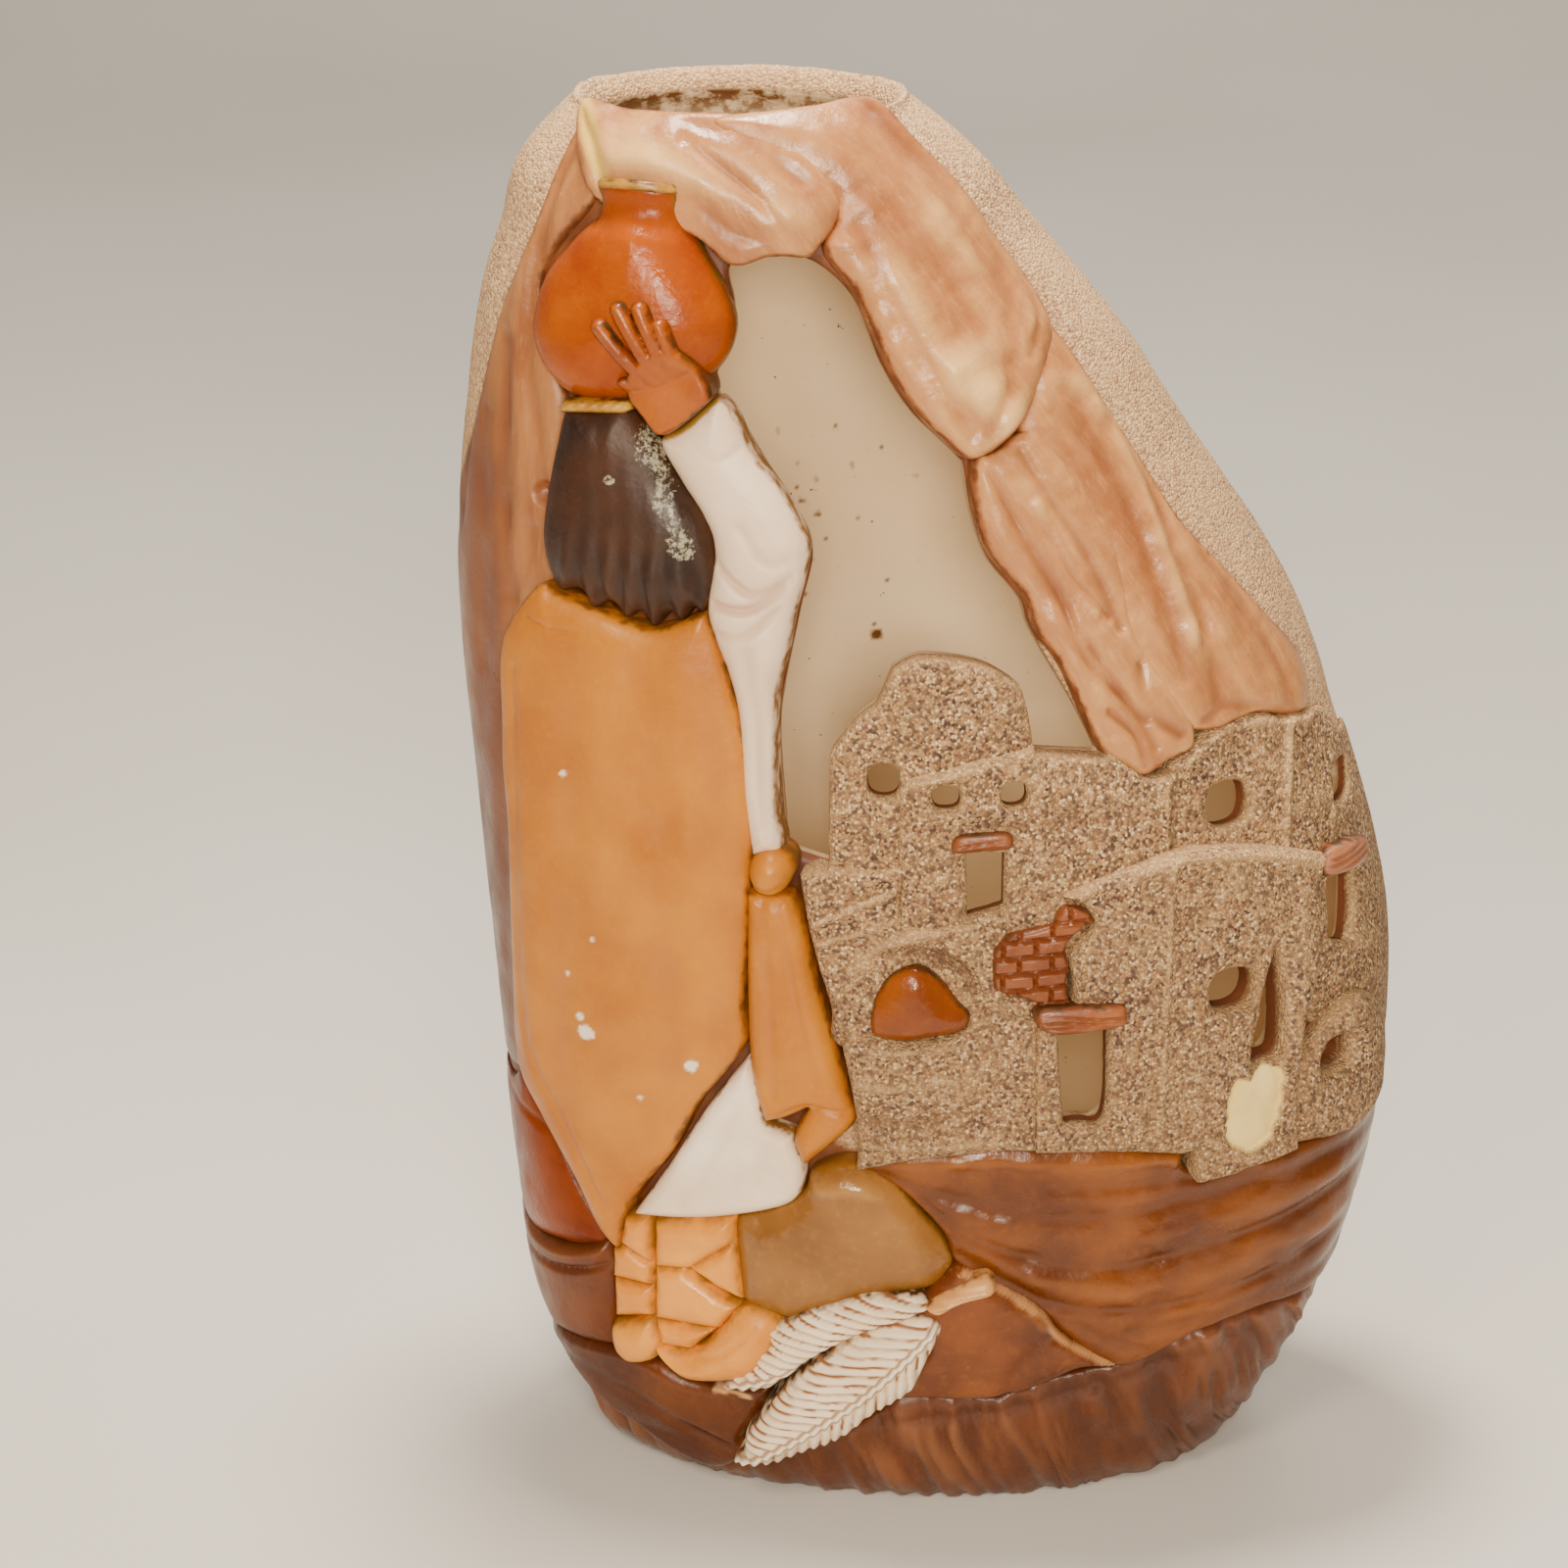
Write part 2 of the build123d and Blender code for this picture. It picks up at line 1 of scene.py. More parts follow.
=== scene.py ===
import json
import math
import bpy
import numpy as np
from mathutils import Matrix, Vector


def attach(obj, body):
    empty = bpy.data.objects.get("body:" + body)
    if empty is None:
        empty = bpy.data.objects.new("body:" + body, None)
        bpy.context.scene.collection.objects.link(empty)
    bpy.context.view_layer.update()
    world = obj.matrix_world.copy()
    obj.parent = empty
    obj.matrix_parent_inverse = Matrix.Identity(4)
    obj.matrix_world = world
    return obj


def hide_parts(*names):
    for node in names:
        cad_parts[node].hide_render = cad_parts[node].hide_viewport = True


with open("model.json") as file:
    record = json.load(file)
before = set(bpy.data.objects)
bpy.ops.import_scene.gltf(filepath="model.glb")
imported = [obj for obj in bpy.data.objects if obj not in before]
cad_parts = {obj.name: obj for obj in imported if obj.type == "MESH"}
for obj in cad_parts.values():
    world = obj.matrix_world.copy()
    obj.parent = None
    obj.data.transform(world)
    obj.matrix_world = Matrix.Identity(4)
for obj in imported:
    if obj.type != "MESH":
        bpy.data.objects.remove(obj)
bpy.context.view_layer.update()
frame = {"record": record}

# The vase is sculpted in millimetres about its own middle: x to the right and
# z up, seen from the front, with the body's middle plane at y = 0.
MM = 0.001
WALL = 6.0
FLOOR = 8.0
FOOT_MIDDLE_X = 3.0
foot = next(m for m in frame["record"]["mounts"] if m["name"] == "foot")
MIDDLE_X = foot["pos_m"][0] / MM - FOOT_MIDDLE_X
MIDDLE_Y = foot["pos_m"][1] / MM

# Outer form: height, middle in x, half width, half depth of each oval section
SECTIONS = np.array([
    (0, 3, 68, 41),
    (7, -1, 82, 48),
    (22, -1, 93, 55),
    (45, 0, 103, 61),
    (80, 3, 111, 64),
    (115, 3.5, 114.5, 65),
    (150, 1.5, 115.5, 64),
    (190, -5, 112, 61),
    (222, -12, 107.5, 57.5),
    (250, -20, 100, 54),
    (275, -27.5, 91, 50),
    (300, -34.5, 81, 46),
    (325, -43, 67, 42),
    (345, -47, 55, 37),
    (357, -48.5, 45, 32),
    (363, -49, 38, 27),
], float)
TOP = SECTIONS[-1, 0]

# Random hills come from a square table this many steps wide, read far from its start
TABLE = 64
ABOVE_ZERO = 1000


# ---------------------------------------------------------------- geometry

def section_at(z):
    """Middle, half width and half depth of the body at heights z, and their
    slopes, from a smooth curve through the sections."""
    heights = SECTIONS[:, 0]
    z = np.clip(z, heights[0], heights[-1])
    i = np.clip(np.searchsorted(heights, z, side="right") - 1, 0, len(heights) - 2)
    span = heights[i + 1] - heights[i]
    q = (z - heights[i]) / span
    values = []
    slopes = []
    for column in SECTIONS[:, 1:].T:
        slope = np.gradient(column, heights)
        a, b = column[i], column[i + 1]
        sa, sb = slope[i] * span, slope[i + 1] * span
        values.append(
            (2 * q**3 - 3 * q**2 + 1) * a + (q**3 - 2 * q**2 + q) * sa
            + (3 * q**2 - 2 * q**3) * b + (q**3 - q**2) * sb
        )
        slopes.append(
            ((6 * q**2 - 6 * q) * (a - b) + (3 * q**2 - 4 * q + 1) * sa + (3 * q**2 - 2 * q) * sb) / span
        )
    return values, slopes


def front_x(turn, z):
    """x of a point of the body at an angle round the oval. Past the sides the
    x goes on growing, as if the back were folded out."""
    (middle, half_width, _), _ = section_at(z)
    past = np.abs(turn) - math.pi / 2
    spread = np.where(past > 0, np.sign(turn) * (1 + past), np.sin(turn))
    return middle + half_width * spread


def turn_at(x, z):
    """Angle round the oval of a point given by its folded-out x."""
    (middle, half_width, _), _ = section_at(z)
    spread = (x - middle) / half_width
    inner = np.arcsin(np.clip(spread, -1, 1))
    return inner + np.sign(spread) * np.maximum(np.abs(spread) - 1, 0)


def surface(turn, z, rise):
    """Points at a height above the body's surface, along its normal."""
    (middle, a, b), (dm, da, db) = section_at(z)
    sin, cos = np.sin(turn), np.cos(turn)
    point = np.stack([middle + a * sin, -b * cos, z], -1)
    normal = np.stack([b * sin, -a * cos, -a * db * cos**2 - b * sin * (dm + da * sin)], -1)
    normal /= np.linalg.norm(normal, axis=-1, keepdims=True)
    return point + normal * np.asarray(rise)[..., None]


def smooth_outline(points, closed=True, steps=8):
    """Dense line through the points. A point with a third value is a corner."""
    flat = [tuple(p[:2]) for p in points]
    sharp = [len(p) > 2 for p in points]
    count = len(flat)
    dense = []
    for i in range(count if closed else count - 1):
        j = (i + 1) % count
        p1, p2 = np.array(flat[i], float), np.array(flat[j], float)
        p0 = p1 if sharp[i] or (not closed and i == 0) else np.array(flat[i - 1], float)
        p3 = p2 if sharp[j] or (not closed and j == count - 1) else np.array(flat[(j + 1) % count], float)
        if sharp[i] and sharp[j]:
            dense.append(p1)
            continue
        for q in np.arange(steps) / steps:
            dense.append(
                0.5 * (2 * p1 + (p2 - p0) * q + (2 * p0 - 5 * p1 + 4 * p2 - p3) * q**2
                       + (3 * p1 - p0 - 3 * p2 + p3) * q**3)
            )
    if not closed:
        dense.append(np.array(flat[-1], float))
    return np.array(dense)


def line_distance(x, z, line, closed=False):
    """Distance from points to a line of straight pieces."""
    ends = np.roll(line, -1, 0) if closed else line[1:]
    starts = line if closed else line[:-1]
    best = np.full(np.shape(x), 1e9)
    for (ax, az), (bx, bz) in zip(starts, ends):
        dx, dz = bx - ax, bz - az
        length = max(dx * dx + dz * dz, 1e-9)
        q = np.clip(((x - ax) * dx + (z - az) * dz) / length, 0, 1)
        best = np.minimum(best, (x - ax - q * dx) ** 2 + (z - az - q * dz) ** 2)
    return np.sqrt(best)


def inside_depth(x, z, line):
    """Distance to a closed line, positive inside it and negative outside."""
    inside = np.zeros(np.shape(x), bool)
    for (ax, az), (bx, bz) in zip(line, np.roll(line, -1, 0)):
        crosses = (az > z) != (bz > z)
        at = ax + (z - az) * (bx - ax) / (bz - az if bz != az else 1e-9)
        inside ^= crosses & (x < at)
    return np.where(inside, 1, -1) * line_distance(x, z, line, closed=True)


def smooth_step(low, high, value):
    """0 below low, 1 above high and a smooth ramp between them."""
    q = np.clip((value - low) / (high - low), 0, 1)
    return q * q * (3 - 2 * q)


def lumps(x, z, size, seed):
    """Smooth random hills between -1 and 1, about size millimetres apart."""
    table = np.random.default_rng(seed).uniform(-1, 1, (TABLE, TABLE))
    u, v = x / size + ABOVE_ZERO, z / size + ABOVE_ZERO
    i, j = np.floor(u).astype(int), np.floor(v).astype(int)
    p, q = smooth_step(0, 1, u - i), smooth_step(0, 1, v - j)

    def row_at(b):
        """Heights on the row of the table b steps up."""
        return table[i % TABLE, (j + b) % TABLE] * (1 - p) + table[(i + 1) % TABLE, (j + b) % TABLE] * p

    return row_at(0) * (1 - q) + row_at(1) * q


def groove(x, z, points, width, depth):
    """A rounded furrow (or, with a negative depth, a ridge) along a line."""
    distance = line_distance(x, z, smooth_outline(points, closed=False))
    uneven = 0.85 + 0.5 * lumps(x, z, 8, 7)
    return -depth * uneven * np.exp(-(distance / width) ** 2)


def crown(inset, edge, start=0.35):
    """Height share of a rounded shoulder at a distance inside its outline."""
    q = 1 - np.clip(inset / edge, 0, 1)
    return start + (1 - start) * np.sqrt(1 - q * q)


RING_ORDER = ((0, 0), (0, 1), (1, 1), (1, 0))


def march(inset):
    """Cut a grid along the zero line of inset. Returns for each vertex its
    place (row, column, both fractional), and the faces that lie inside."""
    rows, columns = inset.shape
    keep = inset > 0
    number = np.full(inset.shape, -1)
    number[keep] = np.arange(keep.sum())
    places = [np.argwhere(keep).astype(float)]
    total = int(keep.sum())
    edge_numbers = []
    for step in ((0, 1), (1, 0)):
        a = inset[: rows - step[0], : columns - step[1]]
        b = inset[step[0]:, step[1]:]
        cut = (a > 0) != (b > 0)
        ids = np.full(a.shape, -1)
        ids[cut] = total + np.arange(cut.sum())
        total += int(cut.sum())
        share = a[cut] / (a[cut] - b[cut])
        places.append(np.argwhere(cut) + share[:, None] * np.array(step, float))
        edge_numbers.append(ids)
    across, down = edge_numbers
    corner = [number[r: rows - 1 + r, c: columns - 1 + c] for r, c in RING_ORDER]
    edges = [across[:-1], down[:, 1:], across[1:], down[:, :-1]]
    code = sum((corner[k] >= 0) * 2**k for k in range(4))
    faces = []
    for case in range(1, 16):
        ring = []
        for k in range(4):
            if case >> k & 1:
                ring.append(corner[k])
            if (case >> k & 1) != (case >> (k + 1) % 4 & 1):
                ring.append(edges[k])
        chosen = code == case
        faces.extend(np.stack([part[chosen] for part in ring], -1).tolist())
    return np.concatenate(places), faces


def boundary_edges(faces):
    """Directed edges that only one face uses."""
    seen = {}
    for face in faces:
        for a, b in zip(face, face[1:] + face[:1]):
            seen[(a, b)] = True
    return [(a, b) for a, b in seen if (b, a) not in seen]


def make_object(name, points, faces, values, sharp_angle=50):
    """Mesh object from points in millimetres, with named point values."""
    mesh = bpy.data.meshes.new(name)
    placed = (points + np.array([MIDDLE_X, MIDDLE_Y, 0])) * MM
    mesh.from_pydata(placed.tolist(), [], faces)
    mesh.validate()
    mesh.shade_smooth()
    mesh.set_sharp_from_angle(angle=math.radians(sharp_angle))
    for key, value in values.items():
        attribute = mesh.attributes.new(key, "FLOAT", "POINT")
        attribute.data.foreach_set("value", np.asarray(value, np.float32))
    piece = bpy.data.objects.new(name, mesh)
    bpy.context.scene.collection.objects.link(piece)
    return piece


def place(piece, node, material):
    """Put a finished piece in its CAD node's stead."""
    piece.data.materials.append(material)
    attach(piece, "root")
    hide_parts(node)
    return piece


HOLES = {}
# Reliefs start this far below the body's surface, and no lower than this above the floor
SINK = 1.2
OFF_FLOOR = 0.3
# Towards the sides, between these angles, reliefs flatten to this share of their height
SIDE_TURNS = (0.95, 1.5)
SIDE_RISE = 0.15
# Behind a window the wall is scooped out over this width, down to these thicknesses,
# the larger one to the right of the second x
SCOOP = 4.5
SCOOP_EDGE = 3
THIN_WALL = 4.0
THICK_EXTRA = 3.5
THICK_FROM = (45, 75)


def hole_inset(x, z, names=None):
    """Distance outside the named holes of the front wall, negative inside."""
    best = np.full(np.shape(x), 1e9)
    for name in names or HOLES:
        best = np.minimum(best, -inside_depth(x, z, HOLES[name]))
    return best


def flat_mark(x, z):
    """Mark of a piece that has none."""
    return np.zeros(np.shape(x))


def relief(node, slot, material, outlines, height, step=0.7, holes=False, fingers=(),
           mark=flat_mark, sharp=50):
    """Sculpt a relief on the body: everything inside the outlines, or within a
    finger (start, end, radius), raised by height(x, z, inset) and closed behind
    a little below the body's surface. The paint gets mark(x, z), and how far the
    detail stands out from the plain form."""
    if not isinstance(outlines[0], list):
        outlines = [outlines]
    lines = [smooth_outline(outline) for outline in outlines]
    capsules = [(np.array([start, end], float), radius) for start, end, radius in fingers]
    every = np.concatenate(lines + [ends + grow for ends, r in capsules for grow in (-r, r)])
    low, high = every.min(0), every.max(0)
    turns = turn_at(every[:, 0], every[:, 1])
    (_, half_width, _), _ = section_at(every[:, 1])

    def inset_at(x, z):
        parts = [inside_depth(x, z, line) for line in lines]
        parts += [radius - line_distance(x, z, ends) for ends, radius in capsules]
        depth = np.max(parts, 0)
        return np.minimum(depth, hole_inset(x, z)) if holes else depth

    z = np.arange(low[1] - step, high[1] + 2 * step, step)
    turn_step = step / half_width.mean()
    t = np.arange(turns.min() - 2 * turn_step, turns.max() + 3 * turn_step, turn_step)
    grid_t, grid_z = np.meshgrid(t, z)
    places, faces = march(inset_at(front_x(grid_t, grid_z), grid_z))
    vertex_z = z[0] + places[:, 0] * step
    vertex_t = t[0] + places[:, 1] * turn_step
    vertex_x = front_x(vertex_t, vertex_z)
    depth = np.maximum(inset_at(vertex_x, vertex_z), 0)
    flatten = 1 - (1 - SIDE_RISE) * smooth_step(*SIDE_TURNS, np.abs(vertex_t))
    rise = height(vertex_x, vertex_z, depth) * flatten
    count = len(places)
    back = np.full(count, -SINK)
    if holes:
        near = smooth_step(SCOOP + SCOOP_EDGE, SCOOP, hole_inset(vertex_x, vertex_z, WINDOWS))
        wall_here = THIN_WALL + THICK_EXTRA * smooth_step(*THICK_FROM, vertex_x)
        back = back + near * np.maximum(rise - wall_here + SINK, 0)
    points = np.concatenate([surface(vertex_t, vertex_z, rise), surface(vertex_t, vertex_z, back)])
    points[:, 2] = np.maximum(points[:, 2], OFF_FLOOR)
    rim = boundary_edges(faces)
    closed = faces + [[i + count for i in reversed(face)] for face in faces]
    closed = closed + [[b, a, a + count, b + count] for a, b in rim]
    nothing = np.zeros(count)
    plain = height(vertex_x, vertex_z, depth, True) * flatten
    values = {
        "inset": np.concatenate([depth, nothing]),
        "relief": np.concatenate([rise - plain, nothing]),
        "mark": np.concatenate([mark(vertex_x, vertex_z), nothing]),
        "back": np.concatenate([nothing, near if holes else nothing]),
    }
    return place(make_object(node + "_sculpt", points, closed, values, sharp), node, material)


# ---------------------------------------------------------------- materials

class Paint:
    """A node material built step by step around one Principled shader."""

    def __init__(self, name, roughness=0.5, specular=0.5):
        self.material = bpy.data.materials.new(name)
        self.material.use_nodes = True
        self.nodes = self.material.node_tree.nodes
        self.links = self.material.node_tree.links
        self.shader = self.nodes["Principled BSDF"]
        self.shader.inputs["Roughness"].default_value = roughness
        self.shader.inputs["Specular IOR Level"].default_value = specular
        self.place = self.node("ShaderNodeTexCoord").outputs["Object"]

    def node(self, kind, **settings):
        made = self.nodes.new(kind)
        for key, value in settings.items():
            setattr(made, key, value)
        return made

    def noise(self, size, detail=3.0, rough=0.5, stretch=(1, 1, 1), shift=0.0, lean=0.0):
        """Noise whose features are about size millimetres wide, stretched along
        axes that lean sideways by an angle."""
        mapping = self.node("ShaderNodeMapping", vector_type="TEXTURE")
        mapping.inputs["Scale"].default_value = stretch
        mapping.inputs["Rotation"].default_value = (0, lean, 0)
        mapping.inputs["Location"].default_value = (shift, shift, shift)
        self.links.new(self.place, mapping.inputs["Vector"])
        made = self.node("ShaderNodeTexNoise")
        made.inputs["Scale"].default_value = 1 / (size * MM)
        made.inputs["Detail"].default_value = detail
        made.inputs["Roughness"].default_value = rough
        self.links.new(mapping.outputs["Vector"], made.inputs["Vector"])
        return made.outputs["Fac"]

    def grains(self, size):
        """Cells about size millimetres wide: their distance and their colour."""
        made = self.node("ShaderNodeTexVoronoi")
        made.inputs["Scale"].default_value = 1 / (size * MM)
        self.links.new(self.place, made.inputs["Vector"])
        return made

    def value(self, name):
        """A value stored on the mesh."""
        return self.node("ShaderNodeAttribute", attribute_name=name).outputs["Fac"]

    def ramp(self, source, *stops):
        """A curve from source to the colours or greys of the stops."""
        made = self.node("ShaderNodeValToRGB")
        band = made.color_ramp
        while len(band.elements) < len(stops):
            band.elements.new(0.5)
        for element, (at, shade) in zip(band.elements, stops):
            element.position = at
            element.color = (*shade, 1) if isinstance(shade, tuple) else (shade, shade, shade, 1)
        self.links.new(source, made.inputs["Fac"])
        return made.outputs["Color"]

    def scale(self, source, low, high, to_low=0.0, to_high=1.0):
        """Map a range of source onto another range, clamped."""
        made = self.node("ShaderNodeMapRange")
        self.links.new(source, made.inputs["Value"])
        for key, number in zip(("From Min", "From Max", "To Min", "To Max"), (low, high, to_low, to_high)):
            made.inputs[key].default_value = number
        return made.outputs["Result"]

    def math(self, operation, a, b):
        made = self.node("ShaderNodeMath", operation=operation)
        for socket, source in zip(made.inputs, (a, b)):
            if isinstance(source, (int, float)):
                socket.default_value = source
            else:
                self.links.new(source, socket)
        return made.outputs["Value"]

    def mix(self, share, first, second, blend="MIX"):
        """Colour mix. share is a socket or a number, colours likewise."""
        made = self.node("ShaderNodeMix", data_type="RGBA", blend_type=blend)
        for socket, source in zip((made.inputs[0], made.inputs[6], made.inputs[7]), (share, first, second)):
            if isinstance(source, tuple):
                socket.default_value = (*source, 1)
            elif isinstance(source, (int, float)):
                socket.default_value = source
            else:
                self.links.new(source, socket)
        return made.outputs[2]

    def finish(self, colour, bumps=(), roughness=None):
        """Join colour, bumps (source, strength in millimetres) and roughness."""
        self.links.new(colour, self.shader.inputs["Base Color"])
        if roughness is not None:
            self.links.new(roughness, self.shader.inputs["Roughness"])
        normal = None
        for source, distance in bumps:
            bump = self.node("ShaderNodeBump")
            bump.inputs["Distance"].default_value = distance * MM
            self.links.new(source, bump.inputs["Height"])
            if normal is not None:
                self.links.new(normal, bump.inputs["Normal"])
            normal = bump.outputs["Normal"]
        if normal is not None:
            self.links.new(normal, self.shader.inputs["Normal"])
        return self.material


def linear(red, green, blue):
    """Linear colour of an 8-bit display colour."""
    return tuple(
        ((c / 255 + 0.055) / 1.055) ** 2.4 if c > 10 else c / 255 / 12.92
        for c in (red, green, blue))


GOLD_GROOVE = (120, 84, 28)
DARK_GROOVE = (70, 42, 18)


def satin_paint(name, base, shade, light, roughness=0.42, groove_width=0.9, streak=(1, 1, 1), lean=0.0,
                marked=None, broken=False, outline=DARK_GROOVE, crease_shade=None, specular=0.45):
    """Hand-painted satin clay: the colour varies softly between base, shade and light, given as 8-bit display
    colours. Its outline is darker, painted shade darkens its creases and a painted highlight lightens its
    raised detail."""
    paint = Paint(name, roughness=roughness, specular=specular)
    crease_shade = linear(*(crease_shade or shade))
    base, shade, light, outline = (linear(*colour) for colour in (base, shade, light, outline))
    wide = paint.noise(22, 3, 0.5, streak, lean=lean)
    fine = paint.noise(2.2, 4, 0.6, streak, 0.3, lean)
    colour = paint.mix(paint.scale(wide, 0.35, 0.68), shade, base)
    colour = paint.mix(paint.scale(fine, 0.52, 0.8, 0, 0.22), colour, light)
    wobble = paint.scale(paint.noise(3.0, 2), 0.3, 0.7, -0.4, 0.4)
    edge = paint.math("ADD", paint.value("inset"), wobble)
    line = paint.mix(paint.scale(paint.noise(5, 2), 0.38, 0.55), shade, outline)
    colour = paint.mix(paint.scale(edge, 0.2 * groove_width, groove_width, 1, 0), colour, line)
    # Painted shade: hollows of the detail are darkened towards the crease colour.
    hollow_shade = paint.scale(paint.value("relief"), -0.2, -1.6, 0, 0.85)
    colour = paint.mix(hollow_shade, colour, crease_shade)
    # Painted highlight: raised detail is lightened towards the light colour.
    colour = paint.mix(paint.scale(paint.value("relief"), 0.2, 1.7, 0, 0.62), colour, light)
    if marked is not None:
        share = paint.value("mark")
        if broken:
            share = paint.scale(paint.math("ADD", share, paint.noise(1.5, 6, 0.8, shift=0.7)), 1.26, 1.36)
        colour = paint.mix(share, colour, linear(*marked))
    shine = paint.scale(paint.noise(9, 3), 0.3, 0.7, roughness - 0.08, roughness + 0.12)
    return paint.finish(colour, [(paint.noise(1.3, 3), 0.12), (paint.noise(7, 2), 0.35)], shine)


def sand_grains(paint, tones, grain=0.78):
    """Colour and height of a coat of coarse sand grains."""
    cells = paint.grains(grain)
    pick = paint.node("ShaderNodeSeparateColor")
    paint.links.new(cells.outputs["Color"], pick.inputs["Color"])
    stops = [((i + 0.5) / len(tones), tone) for i, tone in enumerate(tones)]
    colour = paint.ramp(pick.outputs["Red"], *stops)
    gaps = paint.scale(cells.outputs["Distance"], 0.3, 0.8, 0, 0.5)
    colour = paint.mix(gaps, colour, linear(92, 66, 46))
    height = paint.math("SUBTRACT", 1.0, cells.outputs["Distance"])
    level = paint.math("MULTIPLY", height, paint.scale(pick.outputs["Green"], 0, 1, 0.6, 1.2))
    return colour, level


ARCH_LEAN = math.radians(-33)
SAND_TONES = [
    linear(82, 62, 62), linear(152, 112, 78), linear(218, 174, 122), linear(170, 128, 88),
    linear(250, 220, 170), linear(116, 84, 74), linear(192, 150, 104), linear(62, 48, 52),
]


def sand_wall_material():
    """Sand coat of the buildings."""
    paint = Paint("sand_wall", roughness=0.85, specular=0.3)
    colour, level = sand_grains(paint, SAND_TONES)
    worn = paint.scale(paint.noise(14, 3), 0.3, 0.7)
    colour = paint.mix(paint.scale(worn, 0, 1, 0.0, 0.2), colour, linear(200, 160, 108))
    dust = paint.scale(paint.value("inset"), 0.2, 1.6, 0.4, 0.0)
    colour = paint.mix(dust, colour, linear(212, 174, 124))
    # Painted highlight on the raised ridges and painted shade in the sunk furrows of the walls.
    colour = paint.mix(paint.scale(paint.value("relief"), 0.2, 1.4, 0, 0.45), colour, linear(214, 176, 126))
    colour = paint.mix(paint.scale(paint.value("relief"), -0.3, -1.4, 0, 0.5), colour, linear(112, 82, 60))
    # Painted shade: the walls darken towards the bottom, where less light reaches.
    height_above = paint.node("ShaderNodeSeparateXYZ")
    paint.links.new(paint.place, height_above.inputs["Vector"])
    low_shade = paint.scale(height_above.outputs["Z"], 0.09, 0.2, 0.3, 0.04)
    colour = paint.mix(low_shade, colour, linear(104, 78, 58))
    door = paint.value("mark")
    yellow = paint.mix(
        paint.scale(paint.noise(9, 2), 0.35, 0.65), linear(232, 200, 120), linear(238, 214, 142))
    colour = paint.mix(door, colour, yellow)
    # Painted shade: dark brown on the scooped jambs behind the windows and doors.
    jamb_shade = paint.scale(paint.value("back"), 0.12, 0.5)
    colour = paint.mix(jamb_shade, colour, linear(112, 62, 34))
    bare = paint.math("SUBTRACT", 1.0, paint.math("MAXIMUM", door, jamb_shade))
    grain = paint.math("MULTIPLY", level, bare)
    return paint.finish(colour, [(grain, 0.6), (paint.math("MULTIPLY", paint.noise(3.2, 3), bare), 0.6)])


def body_material():
    """Sand outside, cream glaze inside, brown paint between the reliefs."""
    paint = Paint("sand_shell", roughness=0.6, specular=0.4)
    tones = [linear(r, g, b) for r, g, b in (
        (176, 130, 96), (214, 172, 124), (246, 214, 166), (198, 152, 108), (232, 194, 144), (150, 110, 86))]
    sand, level = sand_grains(paint, tones)
    sand = paint.mix(paint.scale(paint.noise(26, 3), 0.3, 0.7, 0.1, 0.5), sand, linear(224, 184, 138))
    specks = paint.scale(paint.noise(2.4, 3, 0.6, shift=0.2), 0.71, 0.73)
    cream = paint.mix(paint.scale(paint.noise(40, 3), 0.3, 0.7), linear(236, 210, 168), linear(246, 224, 186))
    specks = paint.math("MAXIMUM", specks, paint.value("speck"))
    cream = paint.mix(specks, cream, linear(104, 66, 30))
    brown = paint.mix(paint.scale(paint.noise(8, 3), 0.3, 0.7), linear(92, 48, 26), linear(132, 78, 44))
    glazed = paint.value("glaze")
    painted = paint.value("painted")
    colour = paint.mix(painted, sand, brown)
    colour = paint.mix(glazed, colour, cream)
    stains = paint.math("MULTIPLY", paint.value("stain"), paint.scale(paint.noise(6, 4, 0.7), 0.4, 0.56))
    colour = paint.mix(stains, colour, linear(104, 60, 26))
    rough = paint.scale(paint.math("MAXIMUM", glazed, paint.math("MULTIPLY", painted, 0.7)), 0, 1, 0.88, 0.3)
    coat = paint.math("SUBTRACT", 1.0, paint.math("MAXIMUM", glazed, painted))
    return paint.finish(
        colour, [(paint.math("MULTIPLY", level, coat), 0.5), (paint.noise(12, 2), 0.3)], rough)


